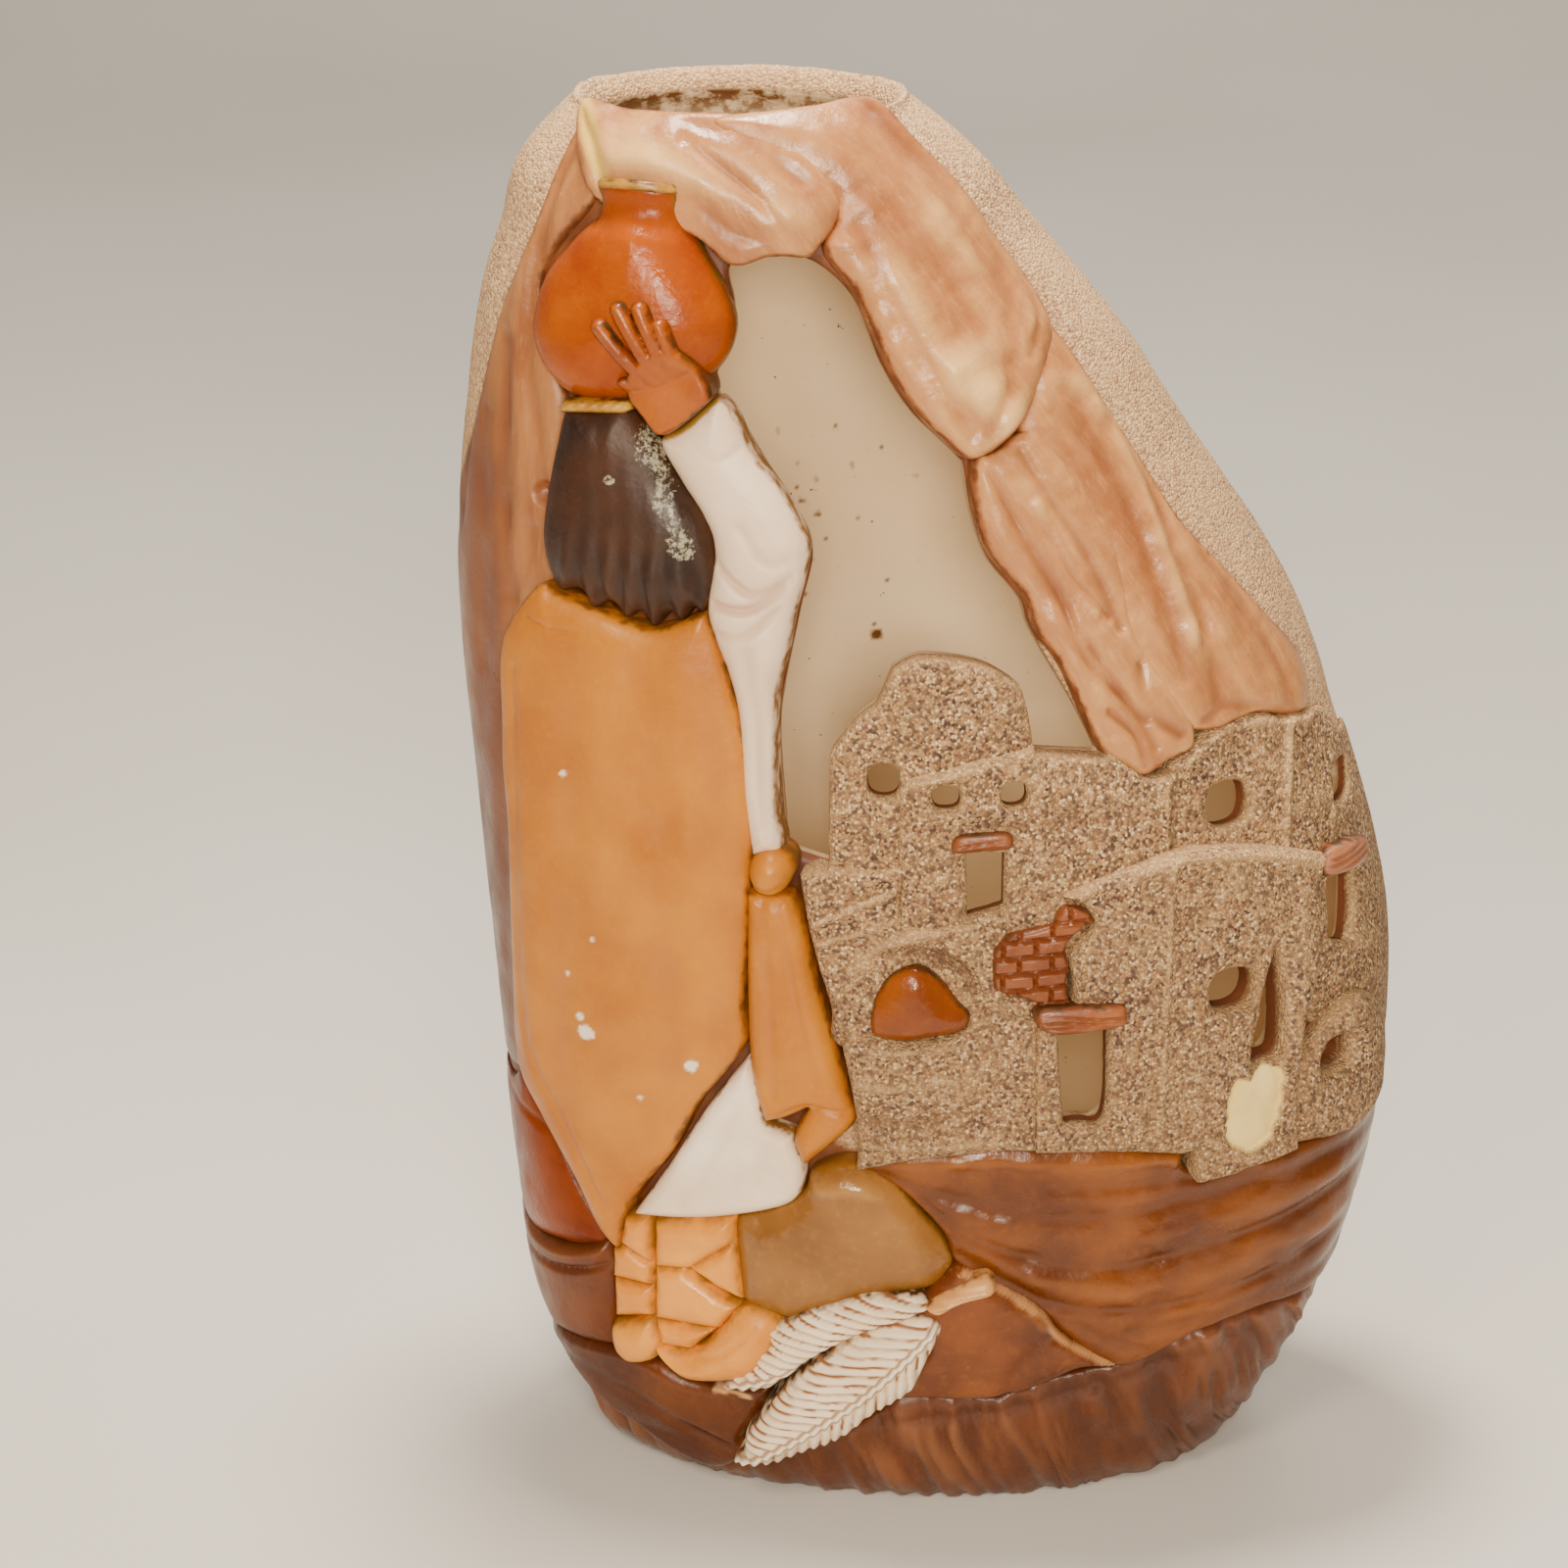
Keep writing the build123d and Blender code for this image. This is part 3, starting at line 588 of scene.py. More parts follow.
# Hand paints: base, shade and light colours and roughness, then what else is special
PAINTS = {
    # arch_rock's marked colour is a painted highlight in the fold above the jar.
    "arch_rock": (((202, 144, 88), (164, 102, 58), (250, 206, 136), 0.3), dict(
        streak=(0.45, 0.45, 2.2), lean=ARCH_LEAN, outline=(122, 66, 40), crease_shade=(138, 78, 46),
        marked=(246, 208, 100))),
    "cliff_rock": (((194, 134, 78), (142, 84, 46), (222, 168, 108), 0.34), dict(
        streak=(0.5, 0.5, 3), marked=(112, 64, 42), outline=(110, 66, 38))),
    "orange_pot": (((170, 80, 0), (140, 54, 0), (186, 98, 0), 0.22), dict(
        outline=GOLD_GROOVE, specular=0.22)),
    "gold_line": (((214, 164, 60), (160, 108, 34), (248, 214, 118), 0.3), dict()),
    "dark_hair": (((66, 34, 12), (38, 18, 6), (88, 54, 26), 0.46), dict(
        marked=(168, 164, 140), broken=True, crease_shade=(28, 14, 6))),
    "white_cloth": (((246, 222, 194), (228, 198, 168), (255, 238, 212), 0.5), dict(
        marked=(190, 142, 52), outline=(140, 96, 44), crease_shade=(206, 170, 142))),
    # Painted light: a brighter copy of the white cloth for the skirt, which faces the light.
    "skirt_white_lit": (((255, 240, 214), (240, 214, 184), (255, 246, 228), 0.45), dict(
        outline=(140, 96, 44), crease_shade=(222, 190, 160))),
    "tan_cloth": (((197, 125, 24), (176, 102, 12), (218, 148, 46), 0.38), dict(
        marked=(240, 226, 204), outline=(120, 72, 26), crease_shade=(176, 108, 50))),
    "feather_white": (((250, 232, 202), (232, 208, 172), (255, 244, 224), 0.55), dict(
        marked=(134, 80, 36))),
    "stick_tan": (((226, 168, 104), (188, 126, 66), (244, 200, 138), 0.42), dict()),
    "boulder_olive": (((156, 106, 48), (122, 78, 30), (200, 150, 84), 0.18), dict(outline=(120, 78, 30))),
    "niche_orange": (((142, 70, 0), (106, 44, 0), (172, 98, 0), 0.16), dict()),
    # ledge_brown's marked colour is painted shade on the ledge's right side.
    "ledge_brown": (((128, 68, 10), (88, 40, 4), (164, 96, 28), 0.28), dict(
        marked=(78, 38, 8), outline=(80, 42, 14), crease_shade=(88, 44, 14))),
    "base_brown": (((102, 52, 20), (80, 38, 12), (140, 88, 52), 0.32), dict(
        streak=(0.4, 0.4, 3), crease_shade=(76, 38, 16))),
    "adobe_red": (((150, 84, 42), (112, 56, 26), (186, 122, 74), 0.38), dict()),
    "hand_brown": (((170, 86, 2), (132, 54, 0), (200, 116, 24), 0.34), dict()),
    "boot_tan": (((240, 164, 56), (216, 134, 36), (252, 190, 88), 0.34), dict(
        groove_width=1.9, outline=(150, 96, 26))),
    # slab_brown's marked colour is a painted highlight along the slab's edge.
    "slab_brown": (((124, 62, 8), (80, 34, 2), (172, 104, 36), 0.28), dict(marked=(206, 150, 98))),
    # Painted shade: a darker copy of the ledge brown for the ground step, which lies in shade below the shoe.
    # Its marked colour is a painted highlight along the step's upper edge.
    "step_brown_shaded": (((102, 50, 6), (72, 30, 1), (146, 84, 28), 0.3), dict(marked=(214, 162, 108))),
    "red_pot": (((136, 58, 0), (104, 36, 0), (154, 74, 0), 0.34), dict(specular=0.25)),
    "bowl_brown": (((114, 56, 8), (82, 36, 2), (146, 84, 26), 0.36), dict()),
    "lintel_pink": (((172, 112, 76), (138, 82, 54), (198, 144, 106), 0.4), dict()),
}
MATERIALS = {"sand_shell": body_material(), "sand_wall": sand_wall_material()}
for paint_name, (colours, options) in PAINTS.items():
    MATERIALS[paint_name] = satin_paint(paint_name, *colours, **options)


def add_relief(node, slot, outlines, height, paint=None, **options):
    """Relief in the paint of its own slot, or in one made for the piece."""
    return relief(node, slot, MATERIALS[paint or slot], outlines, height, **options)


def pillow(rise, edge, detail=None, start=0.35):
    """Height of a rounded lump with extra detail that fades at its outline."""
    def height(x, z, inset, plain=False):
        body = rise * crown(inset, edge, start)
        if detail is not None and not plain:
            body = body + detail(x, z) * smooth_step(0, 2.5, inset)
        return body
    return height


# ---------------------------------------------------------------- the body

def window(x, z, width, height):
    """Outline of an upright window with soft corners."""
    w, h, c = width / 2, height / 2, 0.35 * min(width, height)
    return [
        (x - w, z - h + c), (x - w + c * 0.3, z - h + c * 0.3), (x - w + c, z - h),
        (x + w - c, z - h), (x + w - c * 0.3, z - h + c * 0.3), (x + w, z - h + c),
        (x + w, z + h - c), (x + w - c * 0.3, z + h - c * 0.3), (x + w - c, z + h),
        (x - w + c, z + h), (x - w + c * 0.3, z + h - c * 0.3), (x - w, z + h - c),
    ]


CAVE = [
    (-50, 331), (-40, 333), (-30, 332), (-20, 323), (-13, 307), (-6, 296), (2, 288), (7, 283, 0),
    (9, 271), (13, 260), (21, 250), (24, 242), (35, 223), (41, 211, 0), (24, 213, 0), (22, 224),
    (20, 230, 0), (11, 235), (-3, 237), (-10, 234, 0), (-14, 225, 0), (-19, 221), (-25, 213, 0),
    (-25, 184, 0), (-36, 187, 0), (-38, 214), (-37, 227), (-33, 247), (-30, 264), (-38, 278),
    (-48, 294), (-54, 302), (-50, 312), (-49, 322),
]
HOLES["cave"] = smooth_outline(CAVE)
HOLES["tower_window"] = smooth_outline(window(-12, 207, 7.6, 8.2))
HOLES["row_window_left"] = smooth_outline(window(3, 203.2, 6.4, 5.6))
HOLES["row_window_right"] = smooth_outline(window(19, 203.5, 6, 6))
HOLES["row_door"] = smooth_outline([(8, 189, 0), (17, 189, 0), (17, 175.5, 0), (8.5, 173, 0)])
HOLES["right_window"] = smooth_outline(window(71, 195, 10, 10.5))
HOLES["far_window"] = smooth_outline(window(101, 191, 6, 9))
HOLES["front_window"] = smooth_outline(window(71.2, 150, 10.5, 10.5))
HOLES["lower_door"] = smooth_outline([(30, 144, 0), (42, 144, 0), (41.5, 121), (36, 119.5), (32, 119, 0)])
HOLES["far_door"] = smooth_outline([(97, 169, 0), (104, 171, 0), (103.5, 154), (101, 153), (98, 155, 0)])
HOLES["crack"] = smooth_outline([
    (81.4, 159, 0), (79.2, 151), (77.6, 141), (76.2, 131), (80, 129.8), (83.6, 132),
    (83.6, 144), (82.6, 153)])
HOLES["oven_hole"] = smooth_outline(window(98.5, 125.5, 7.5, 9))
WINDOWS = [name for name in HOLES if name != "cave"]

RIM_HALF = 3.2
RIM_STEPS = 10


def ring_faces(first, second):
    """Quads between two closed rings of vertex numbers."""
    return [
        [a, b, d, c]
        for a, b, c, d in zip(first, np.roll(first, -1), second, np.roll(second, -1))
    ]


def spots(x, z, places):
    """1 inside ragged round spots (x, z, radius)."""
    share = np.zeros(np.shape(x))
    for px, pz, radius in places:
        ragged = 0.25 * radius * lumps(x, z, 0.9, 77)
        share = np.maximum(share, smooth_step(0.25, -0.25, np.hypot(x - px, z - pz) - radius + ragged))
    return share


# Dark specks burnt into the glaze of the back wall: x, z, radius
SPECKS = [
    (-36, 245, 0.5), (-34.5, 241, 0.7), (-30.5, 237, 0.8), (-37.8, 226.5, 0.7), (-32.6, 223.5, 0.8),
    (-21.4, 251, 0.6), (-14.7, 202, 1.5), (-15.4, 205, 0.6), (-12.2, 218, 0.5), (-33.6, 214, 0.6),
    (-13.8, 256, 0.5), (-5, 248, 0.5), (-40.6, 261, 0.5), (-28, 230, 0.5), (-26, 262, 0.6),
    (-35.5, 252, 0.5), (-20, 236, 0.5), (-31, 247, 0.5),
]


def shell_inset(x, z):
    """Distance outside the shell's own holes, which are wider than the windows
    because the cast wall swells out behind the buildings."""
    return np.minimum(hole_inset(x, z, ["cave"]), hole_inset(x, z, WINDOWS) - SCOOP + 1)


def sand_swell(turn, z):
    """The sand lies thicker on the right shoulder and just below the rim."""
    right = smooth_step(0.75, 1.3, turn) * smooth_step(2.5, 1.9, turn)
    left = smooth_step(-0.9, -1.3, turn) * smooth_step(-2.5, -1.9, turn)
    right_rise = 2.0 * smooth_step(205, 240, z) + 1.6 * smooth_step(290, 325, z)
    left_rise = 3.0 * smooth_step(330, 350, z)
    return (right * right_rise + left * left_rise) * (1 - 0.65 * smooth_step(340, 361, z))


def make_body(step=1.0):
    """The cast shell: outer and inner wall, rolled rim, floor and foot."""
    columns = 640
    t = -math.pi + 2 * math.pi * np.arange(columns + 1) / columns
    z = np.linspace(FLOOR, TOP - 2.0, int((TOP - FLOOR) / step))
    grid_t, grid_z = np.meshgrid(t, z)
    grid_x = front_x(grid_t, grid_z)
    inset = np.where(np.abs(grid_t) < 1.5, shell_inset(grid_x, grid_z), 50.0)
    places, faces = march(inset)
    row, column = places[:, 0], places[:, 1]
    vertex_z = z[0] + row * (z[1] - z[0])
    vertex_t = t[0] + column * (t[1] - t[0])
    merged = np.arange(len(places))
    first = {int(r): i for i, (r, c) in enumerate(places) if c == 0}
    for i in np.flatnonzero(column == columns):
        merged[i] = first[int(row[i])]
    faces = [[int(merged[i]) for i in face] for face in faces]
    vertex_x = front_x(vertex_t, vertex_z)
    near_hole = np.where(np.abs(vertex_t) < 1.5, np.maximum(shell_inset(vertex_x, vertex_z), 0), 50.0)
    rounded = 1.6 * (crown(near_hole, 2.5, 0) - 1)
    bumps = 0.5 * lumps(vertex_t * 80, vertex_z, 26, 3) + 0.25 * lumps(vertex_t * 80, vertex_z, 9, 4)
    count = len(places)
    outer = surface(vertex_t, vertex_z, rounded + bumps + sand_swell(vertex_t, vertex_z))
    inner = surface(vertex_t, vertex_z, -WALL - 0.5 * rounded)
    inner[:, 2] = np.maximum(inner[:, 2], FLOOR)
    points = [outer, inner]
    all_faces = faces + [[i + count for i in reversed(face)] for face in faces]
    last = len(z) - 1
    for a, b in boundary_edges(faces):
        ends_on_rim = row[a] in (0, last) and row[b] == row[a]
        if not ends_on_rim:
            all_faces.append([b, a, a + count, b + count])
    ring_t = t[:-1]
    lookup = {(r, c): i for i, (r, c) in enumerate(map(tuple, places))}
    bottom = np.array([lookup[(0, c)] for c in range(columns)])
    top = np.array([lookup[(last, c)] for c in range(columns)])
    total = 2 * count

    def add_ring(x, y, height):
        nonlocal total
        level = np.full(columns, float(height)) if np.isscalar(height) else height
        points.append(np.stack([x, y, level], -1))
        total += columns
        return np.arange(total - columns, total)

    inner_top = inner[top]
    outer_top = outer[top]
    middle_line = (inner_top + outer_top) / 2
    half = (outer_top - inner_top) / 2
    previous = top
    for k in range(1, RIM_STEPS):
        angle = math.pi * k / RIM_STEPS
        ring = middle_line + half * math.cos(angle)
        ring[:, 2] += RIM_HALF * math.sin(angle)
        current = add_ring(ring[:, 0], ring[:, 1], ring[:, 2])
        all_faces += ring_faces(previous, current)
        previous = current
    all_faces += ring_faces(previous, top + count)
    previous = bottom
    for height in np.linspace(FLOOR, 0, 9)[1:]:
        (middle, a, b), _ = section_at(np.array(height))
        current = add_ring(middle + a * np.sin(ring_t), -b * np.cos(ring_t), height)
        all_faces += ring_faces(current, previous)
        previous = current
    for share in (0.9, 0.6, 0.3):
        current = add_ring(middle + a * share * np.sin(ring_t), -b * share * np.cos(ring_t), 0.0)
        all_faces += ring_faces(current, previous)
        previous = current
    all_faces.append([int(i) for i in previous])
    previous = bottom + count
    base = inner[bottom]
    for share in (0.85, 0.5, 0.2):
        current = add_ring(base[:, 0] * share, base[:, 1] * share, FLOOR)
        all_faces += ring_faces(previous, current)
        previous = current
    all_faces.append([int(i) for i in previous[::-1]])
    points = np.concatenate(points)
    extra = total - 2 * count
    specks = spots(inner[:, 0], inner[:, 2], SPECKS) * (inner[:, 1] > 0)
    glaze = np.concatenate([np.zeros(count), np.ones(count), np.zeros(extra)])
    speck = np.concatenate([np.zeros(count), specks, np.zeros(extra)])
    stain = np.concatenate([np.zeros(count), smooth_step(338, 358, inner[:, 2]), np.zeros(extra)])
    painted = np.concatenate([painted_zone(vertex_x, vertex_z), np.zeros(count), np.zeros(extra)])
    return make_object(
        "vase_shell", points, [list(map(int, f)) for f in all_faces],
        {"glaze": glaze, "painted": painted, "speck": speck, "stain": stain}, 60)


SAND_EDGE_LEFT = [
    (-83, 366), (-90, 352), (-98, 333), (-106, 313), (-111, 292), (-116, 273), (-124, 249), (-140, 228),
    (-150, 130)]
SAND_EDGE_RIGHT = [(-14, 366), (-6, 350), (16, 320), (26, 303), (50, 268), (80, 222), (88, 206)]


def painted_zone(x, z):
    """1 where the body is painted brown between the reliefs, 0 on its sand."""
    region = smooth_outline(
        [(px, pz, 0) for px, pz in SAND_EDGE_LEFT]
        + [(-150, 60, 0), (-160, 0, 0), (160, 0, 0), (150, 96, 0), (104, 98, 0), (60, 104, 0), (-24, 108, 0)]
        + [(-24, 186, 0), (24, 240, 0)]
        + [(px, pz, 0) for px, pz in reversed(SAND_EDGE_RIGHT)]
    )
    ragged = 1.2 * lumps(x, z, 6, 11)
    return smooth_step(-0.6, 0.6, inside_depth(x, z, region) + ragged)


body = make_body()
place(body, "vase_body", MATERIALS["sand_shell"])


# ---------------------------------------------------------------- the jar and the figure

def ripples(x, z, slant, spacing, seed):
    """Wavy ridges, spacing millimetres apart, that lean by slant x per z."""
    warp = 1.6 * lumps(x, z, 14, seed)
    return np.sin((x - slant * z + warp) * 2 * math.pi / spacing)


JAR = [
    (-78.6, 346.4, 0), (-60, 347.2, 0), (-61.5, 343.8), (-59, 340), (-55, 334), (-50.5, 326),
    (-48, 317.5), (-50.5, 309), (-57, 303), (-66, 299), (-77, 296.5), (-86, 297.5), (-92, 303),
    (-95, 310.5), (-94.5, 318), (-91, 327), (-85.5, 334.5), (-80.5, 340), (-77.5, 343.5),
]
jar_line = smooth_outline(JAR)
NECK_RISE = 10.8


def neck_round(x):
    """Height share across the jar's round neck."""
    return np.sqrt(np.maximum(1 - ((x + 69.3) / 11) ** 2, 0.06))


def jar_height(x, z, inset, plain=False):
    """The jar stands out as a half-round pot that narrows to its neck."""
    neck = smooth_step(336, 342.5, z)
    body = 16.5 * crown(inset, 21, 0.16)
    tube = NECK_RISE * neck_round(x)
    flare = 1.3 * smooth_step(342.5, 346.4, z)
    return body * (1 - neck) + (tube + flare) * neck + 0.25 * lumps(x, z, 9, 21)


def lip_height(x, z, inset, plain=False):
    """Gold bead along the jar's mouth."""
    return (NECK_RISE + 1.3) * neck_round(x) + 0.9 * crown(inset, 0.9, 0.2)


add_relief("water_jar", "orange_pot", JAR, jar_height, step=0.6)
add_relief(
    "jar_lip", "gold_line",
    [(-79.4, 345.8, 0), (-79, 348), (-70, 349), (-60, 348.8), (-58.8, 346.8, 0), (-61, 346.5), (-70, 346.7)],
    lip_height, step=0.3)
add_relief(
    "head_ring", "gold_line",
    [(-87, 293.8, 0), (-86, 297.2), (-79, 298.6), (-71, 299.5, 0), (-69.4, 297.2, 0),
     (-72, 295.6), (-80, 294.6)],
    pillow(12, 1.8, lambda x, z: 0.3 * ripples(x, z, 0.6, 2.4, 5), 0.6), step=0.35)

HAIR = [
    (-86, 295.5), (-79, 297), (-72, 298), (-67, 292), (-60, 280.5), (-54, 272), (-52, 263),
    (-52.5, 254), (-54.5, 248), (-57, 249), (-59.5, 245.5), (-62.5, 247.5), (-66, 243.5), (-69, 247),
    (-72.5, 245), (-76, 248.5), (-80, 246.5), (-83.5, 250.5), (-88, 249.5), (-91, 255), (-92.3, 263),
    (-91, 274), (-89, 285),
]


def hair_detail(x, z):
    """Long strands, deeper towards the tips."""
    depth = 0.06 + 0.7 * smooth_step(272, 249, z)
    lean = (x + 72) * smooth_step(300, 245, z) * -0.25
    return depth * (np.sin((x + lean) * 1.5 + 1.6 * lumps(x, z * 0.6, 9, 8)) - 0.5)


def hair_mark(x, z):
    """Scuffed side of the hair."""
    line = np.array([(-68, 291), (-62.5, 278), (-58.5, 263)], float)
    side = line_distance(x, z, line) + 2.2 * lumps(x, z, 5, 12)
    chip = np.hypot(x + 74.5, z - 280)
    return 0.8 * np.maximum(smooth_step(8, 1.5, side), smooth_step(2.6, 1, chip))


add_relief("hair", "dark_hair", HAIR, pillow(14, 12, hair_detail, 0.4), step=0.5, mark=hair_mark)

SLEEVE = [
    (-65, 289), (-60, 293), (-52, 300), (-47.5, 296), (-44, 288), (-38, 280), (-33, 272), (-30, 265),
    (-31, 257), (-33, 249), (-35, 238), (-37, 229), (-37.5, 215), (-37, 199), (-35.5, 189),
    (-43, 187, 0), (-45.5, 203), (-46.5, 222), (-49, 233), (-52, 241), (-54, 249), (-52.5, 263),
    (-55, 271), (-60.5, 280),
]


def sleeve_detail(x, z):
    """Folds at the bent elbow and along the arm."""
    folds = groove(x, z, [(-54, 251), (-44, 250), (-36, 255)], 1.3, 1.5)
    folds += groove(x, z, [(-53, 262), (-43, 254), (-34, 258)], 1.2, 1.3)
    folds += groove(x, z, [(-52, 243), (-44, 244), (-37, 250)], 1.3, 1.0)
    folds += groove(x, z, [(-46, 270), (-40, 262), (-35, 262)], 1.4, 0.8)
    folds += groove(x, z, [(-44, 240), (-41, 222), (-40, 196)], 2.0, 0.9)
    folds += groove(x, z, [(-57, 289), (-51, 286), (-46, 289)], 1.2, 0.5)
    return folds


def cuff_mark(x, z):
    """Gold line round the cuff."""
    line = smooth_outline([(-66, 290), (-61, 292), (-56, 296), (-52.5, 300)], closed=False)
    return smooth_step(1.3, 0.7, line_distance(x, z, line) + 0.3 * lumps(x, z, 1.4, 33))


add_relief("sleeve", "white_cloth", SLEEVE, pillow(12, 8, sleeve_detail, 0.4), step=0.5, mark=cuff_mark)

PALM = [
    (-70, 307), (-66, 312), (-61, 314), (-56, 310), (-52.5, 303), (-54, 299), (-63, 291.5), (-68, 296),
    (-71, 301)]
FINGERS = [
    ((-67, 306), (-75.2, 317.6), 1.8),
    ((-64.5, 308), (-71.2, 321.6), 1.85),
    ((-62, 309), (-67, 322), 1.8),
    ((-59, 308), (-62.8, 318.6), 1.7),
    ((-65, 298), (-71, 304), 1.7),
]


def hand_height(x, z, inset, plain=False):
    """The hand lies on the jar, with the knuckles and fingers raised."""
    below = jar_height(x, z, np.maximum(inside_depth(x, z, jar_line), 0))
    knuckles = 0.6 * groove(x, z, [(-70, 309), (-63, 312), (-57, 309)], 2.4, -1)
    between = (
        groove(x, z, [(-67.5, 313), (-64, 306)], 0.7, 0.9)
        + groove(x, z, [(-64, 314.5), (-61, 306)], 0.7, 0.9))
    between += groove(x, z, [(-70, 311.5), (-66, 304)], 0.7, 0.9)
    body = np.maximum(below, 10.5) + 0.5 + 3.0 * crown(inset, 1.9, 0.1)
    return body if plain else body + knuckles + between


add_relief("hand", "orange_pot", PALM, hand_height, paint="hand_brown", step=0.4, fingers=FINGERS)

SHAWL = [
    (-93, 250), (-88, 248.5), (-78, 246), (-66, 243), (-54, 248.5, 0), (-51, 240), (-48.5, 232),
    (-45.5, 221), (-43.5, 209), (-42.5, 191), (-43.5, 177), (-43.5, 167), (-44.5, 148), (-44, 138),
    (-50, 127.5), (-56, 118.5), (-63, 103), (-72, 88), (-75, 72.5, 0), (-80, 78), (-86, 91),
    (-94, 105), (-99.5, 113), (-101.5, 122), (-101.5, 141), (-101.5, 163), (-101.5, 183),
    (-102.5, 199), (-102.5, 213), (-102.5, 229), (-100, 239),
]
SHAWL_FOLDS = [
    ([(-85, 240), (-85, 201), (-88, 147), (-86, 112)], 3.6, 0.55),
    ([(-70, 236), (-65, 205), (-63, 166), (-61, 130)], 4.2, 0.65),
    ([(-55, 240), (-52, 216), (-50, 181), (-50, 142)], 3.2, 0.5),
    ([(-98, 228), (-97.8, 205), (-97.5, 150), (-95, 126), (-86, 106), (-77.5, 86)], 1.1, 0.7),
    ([(-78, 236), (-76, 200), (-75, 165)], 5.0, -0.5),
    ([(-60, 232), (-57, 200), (-56, 170)], 3.6, -0.4),
    ([(-95, 242), (-88, 240.5), (-82, 240.8), (-77, 239.4)], 0.45, 0.6),
    ([(-71, 120), (-62, 124), (-54, 131)], 3.0, 0.5),
]


def shawl_detail(x, z):
    """Soft upright folds and the folded hem on the left."""
    folds = sum(groove(x, z, line, width, depth) for line, width, depth in SHAWL_FOLDS)
    return folds + 0.25 * lumps(x, z, 13, 31)


SHAWL_CHIPS = [
    (-80.5, 135, 1.9), (-82, 139, 1.0), (-56, 131, 1.5), (-86, 203.5, 0.8), (-85, 150, 0.6),
    (-79, 161, 0.5), (-68, 120, 0.5)]
add_relief(
    "shawl", "tan_cloth", SHAWL, pillow(11.5, 10, shawl_detail, 0.6), step=0.7,
    mark=lambda x, z: spots(x, z, SHAWL_CHIPS))

SASH_KNOT = [
    (-43.5, 184), (-42, 188.5), (-38, 190.5), (-33.5, 188.5), (-32.3, 184), (-34.5, 179.5),
    (-38, 177.5), (-42, 179)]
add_relief(
    "sash_knot", "tan_cloth", SASH_KNOT,
    pillow(15, 6, lambda x, z: groove(x, z, [(-43, 181), (-38, 180), (-33, 182)], 0.6, 0.7)),
    step=0.4)
SASH_TAIL = [
    (-44, 178, 0), (-38, 178.5), (-33, 178, 0), (-30, 170), (-27, 155), (-22.5, 139), (-17.5, 122, 0),
    (-18.5, 117), (-30, 105.5, 0), (-32.5, 112), (-31.5, 116.5, 0), (-29, 121.5, 0), (-34, 118.5),
    (-39.5, 116.5, 0), (-42, 126), (-43.5, 139), (-44, 158),
]


def sash_detail(x, z):
    """Creases running out of the knot and the step above the hem."""
    lines = groove(x, z, [(-40, 176), (-38, 150), (-37, 126)], 1.5, 0.8)
    lines += groove(x, z, [(-36, 176), (-32, 152), (-27, 130)], 1.3, 0.7)
    lines += groove(x, z, [(-39, 118), (-29, 123), (-19, 122)], 0.8, 1.1)
    return lines


add_relief("sash_tail", "tan_cloth", SASH_TAIL, pillow(11.5, 5, sash_detail, 0.45), step=0.5)

SKIRT = [
    (-44, 133, 0), (-41, 125), (-39.5, 116), (-33, 113, 0), (-30, 103), (-33, 94), (-48, 88),
    (-60, 85), (-73, 83, 0), (-64, 99), (-54, 118),
]
# The skirt takes the brighter copy of the white cloth as painted light.
add_relief(
    "skirt", "white_cloth", SKIRT,
    pillow(8.5, 4, lambda x, z: groove(x, z, [(-46, 120), (-52, 104), (-60, 90)], 2, 0.7)
           + groove(x, z, [(-40, 110), (-42, 98)], 2, 0.5), 0.4),
    paint="skirt_white_lit", step=0.5)

LEFT_BANDS = [
    [(-74.5, 83), (-67, 86), (-66.2, 70), (-75.5, 75)],
    [(-77.3, 73), (-73, 75.5), (-66.2, 71.5), (-66.2, 64), (-77.3, 64)],
    [(-77, 65), (-66.2, 65), (-66.2, 55.5), (-77, 52)],
]
RIGHT_BANDS = [
    [(-67, 84), (-57, 87), (-46.5, 89), (-46.5, 81), (-57, 71.5), (-67, 69.5)],
    [(-46.5, 83), (-59, 72), (-51, 67), (-44, 64.5)],
    [(-67, 70.5), (-59, 72.5), (-50, 66), (-44.5, 64), (-50, 55.5), (-67, 55)],
    [(-67, 56), (-50, 56.5), (-57, 48), (-66, 47.5)],
]


def bands_of(wraps):
    """Outlines of the wraps with every corner sharp."""
    return [[(x, z, 0) for x, z in wrap] for wrap in wraps]



def band_height(x, z, inset, plain=False):
    """Padded bands with a gold furrow between them."""
    return 10 * crown(inset, 4.0, 0.3) + 0.3 * lumps(x, z, 5, 41)


add_relief("left_legging", "tan_cloth", bands_of(LEFT_BANDS), band_height, paint="boot_tan", step=0.4)
add_relief("right_legging", "tan_cloth", bands_of(RIGHT_BANDS), band_height, paint="boot_tan", step=0.4)
LEFT_SHOE = [(-77, 51), (-72, 53.5), (-66.5, 56), (-64, 49.5), (-66.5, 43), (-72, 40.5), (-76.5, 44)]
RIGHT_SHOE = [
    (-66.5, 49), (-57, 49.5), (-50, 57.5), (-45.5, 64), (-39, 64.5), (-35, 60), (-38, 50), (-44, 43),
    (-57, 39.5), (-64, 43.5)]
add_relief("left_moccasin", "tan_cloth", LEFT_SHOE, pillow(12.5, 6), paint="boot_tan", step=0.4)
add_relief(
    "right_moccasin", "tan_cloth", RIGHT_SHOE,
    pillow(13.5, 8, lambda x, z: groove(x, z, [(-56, 48), (-48, 52), (-41, 60)], 0.8, 0.6)),
    paint="boot_tan", step=0.4)


# ---------------------------------------------------------------- feathers, boulder and ground

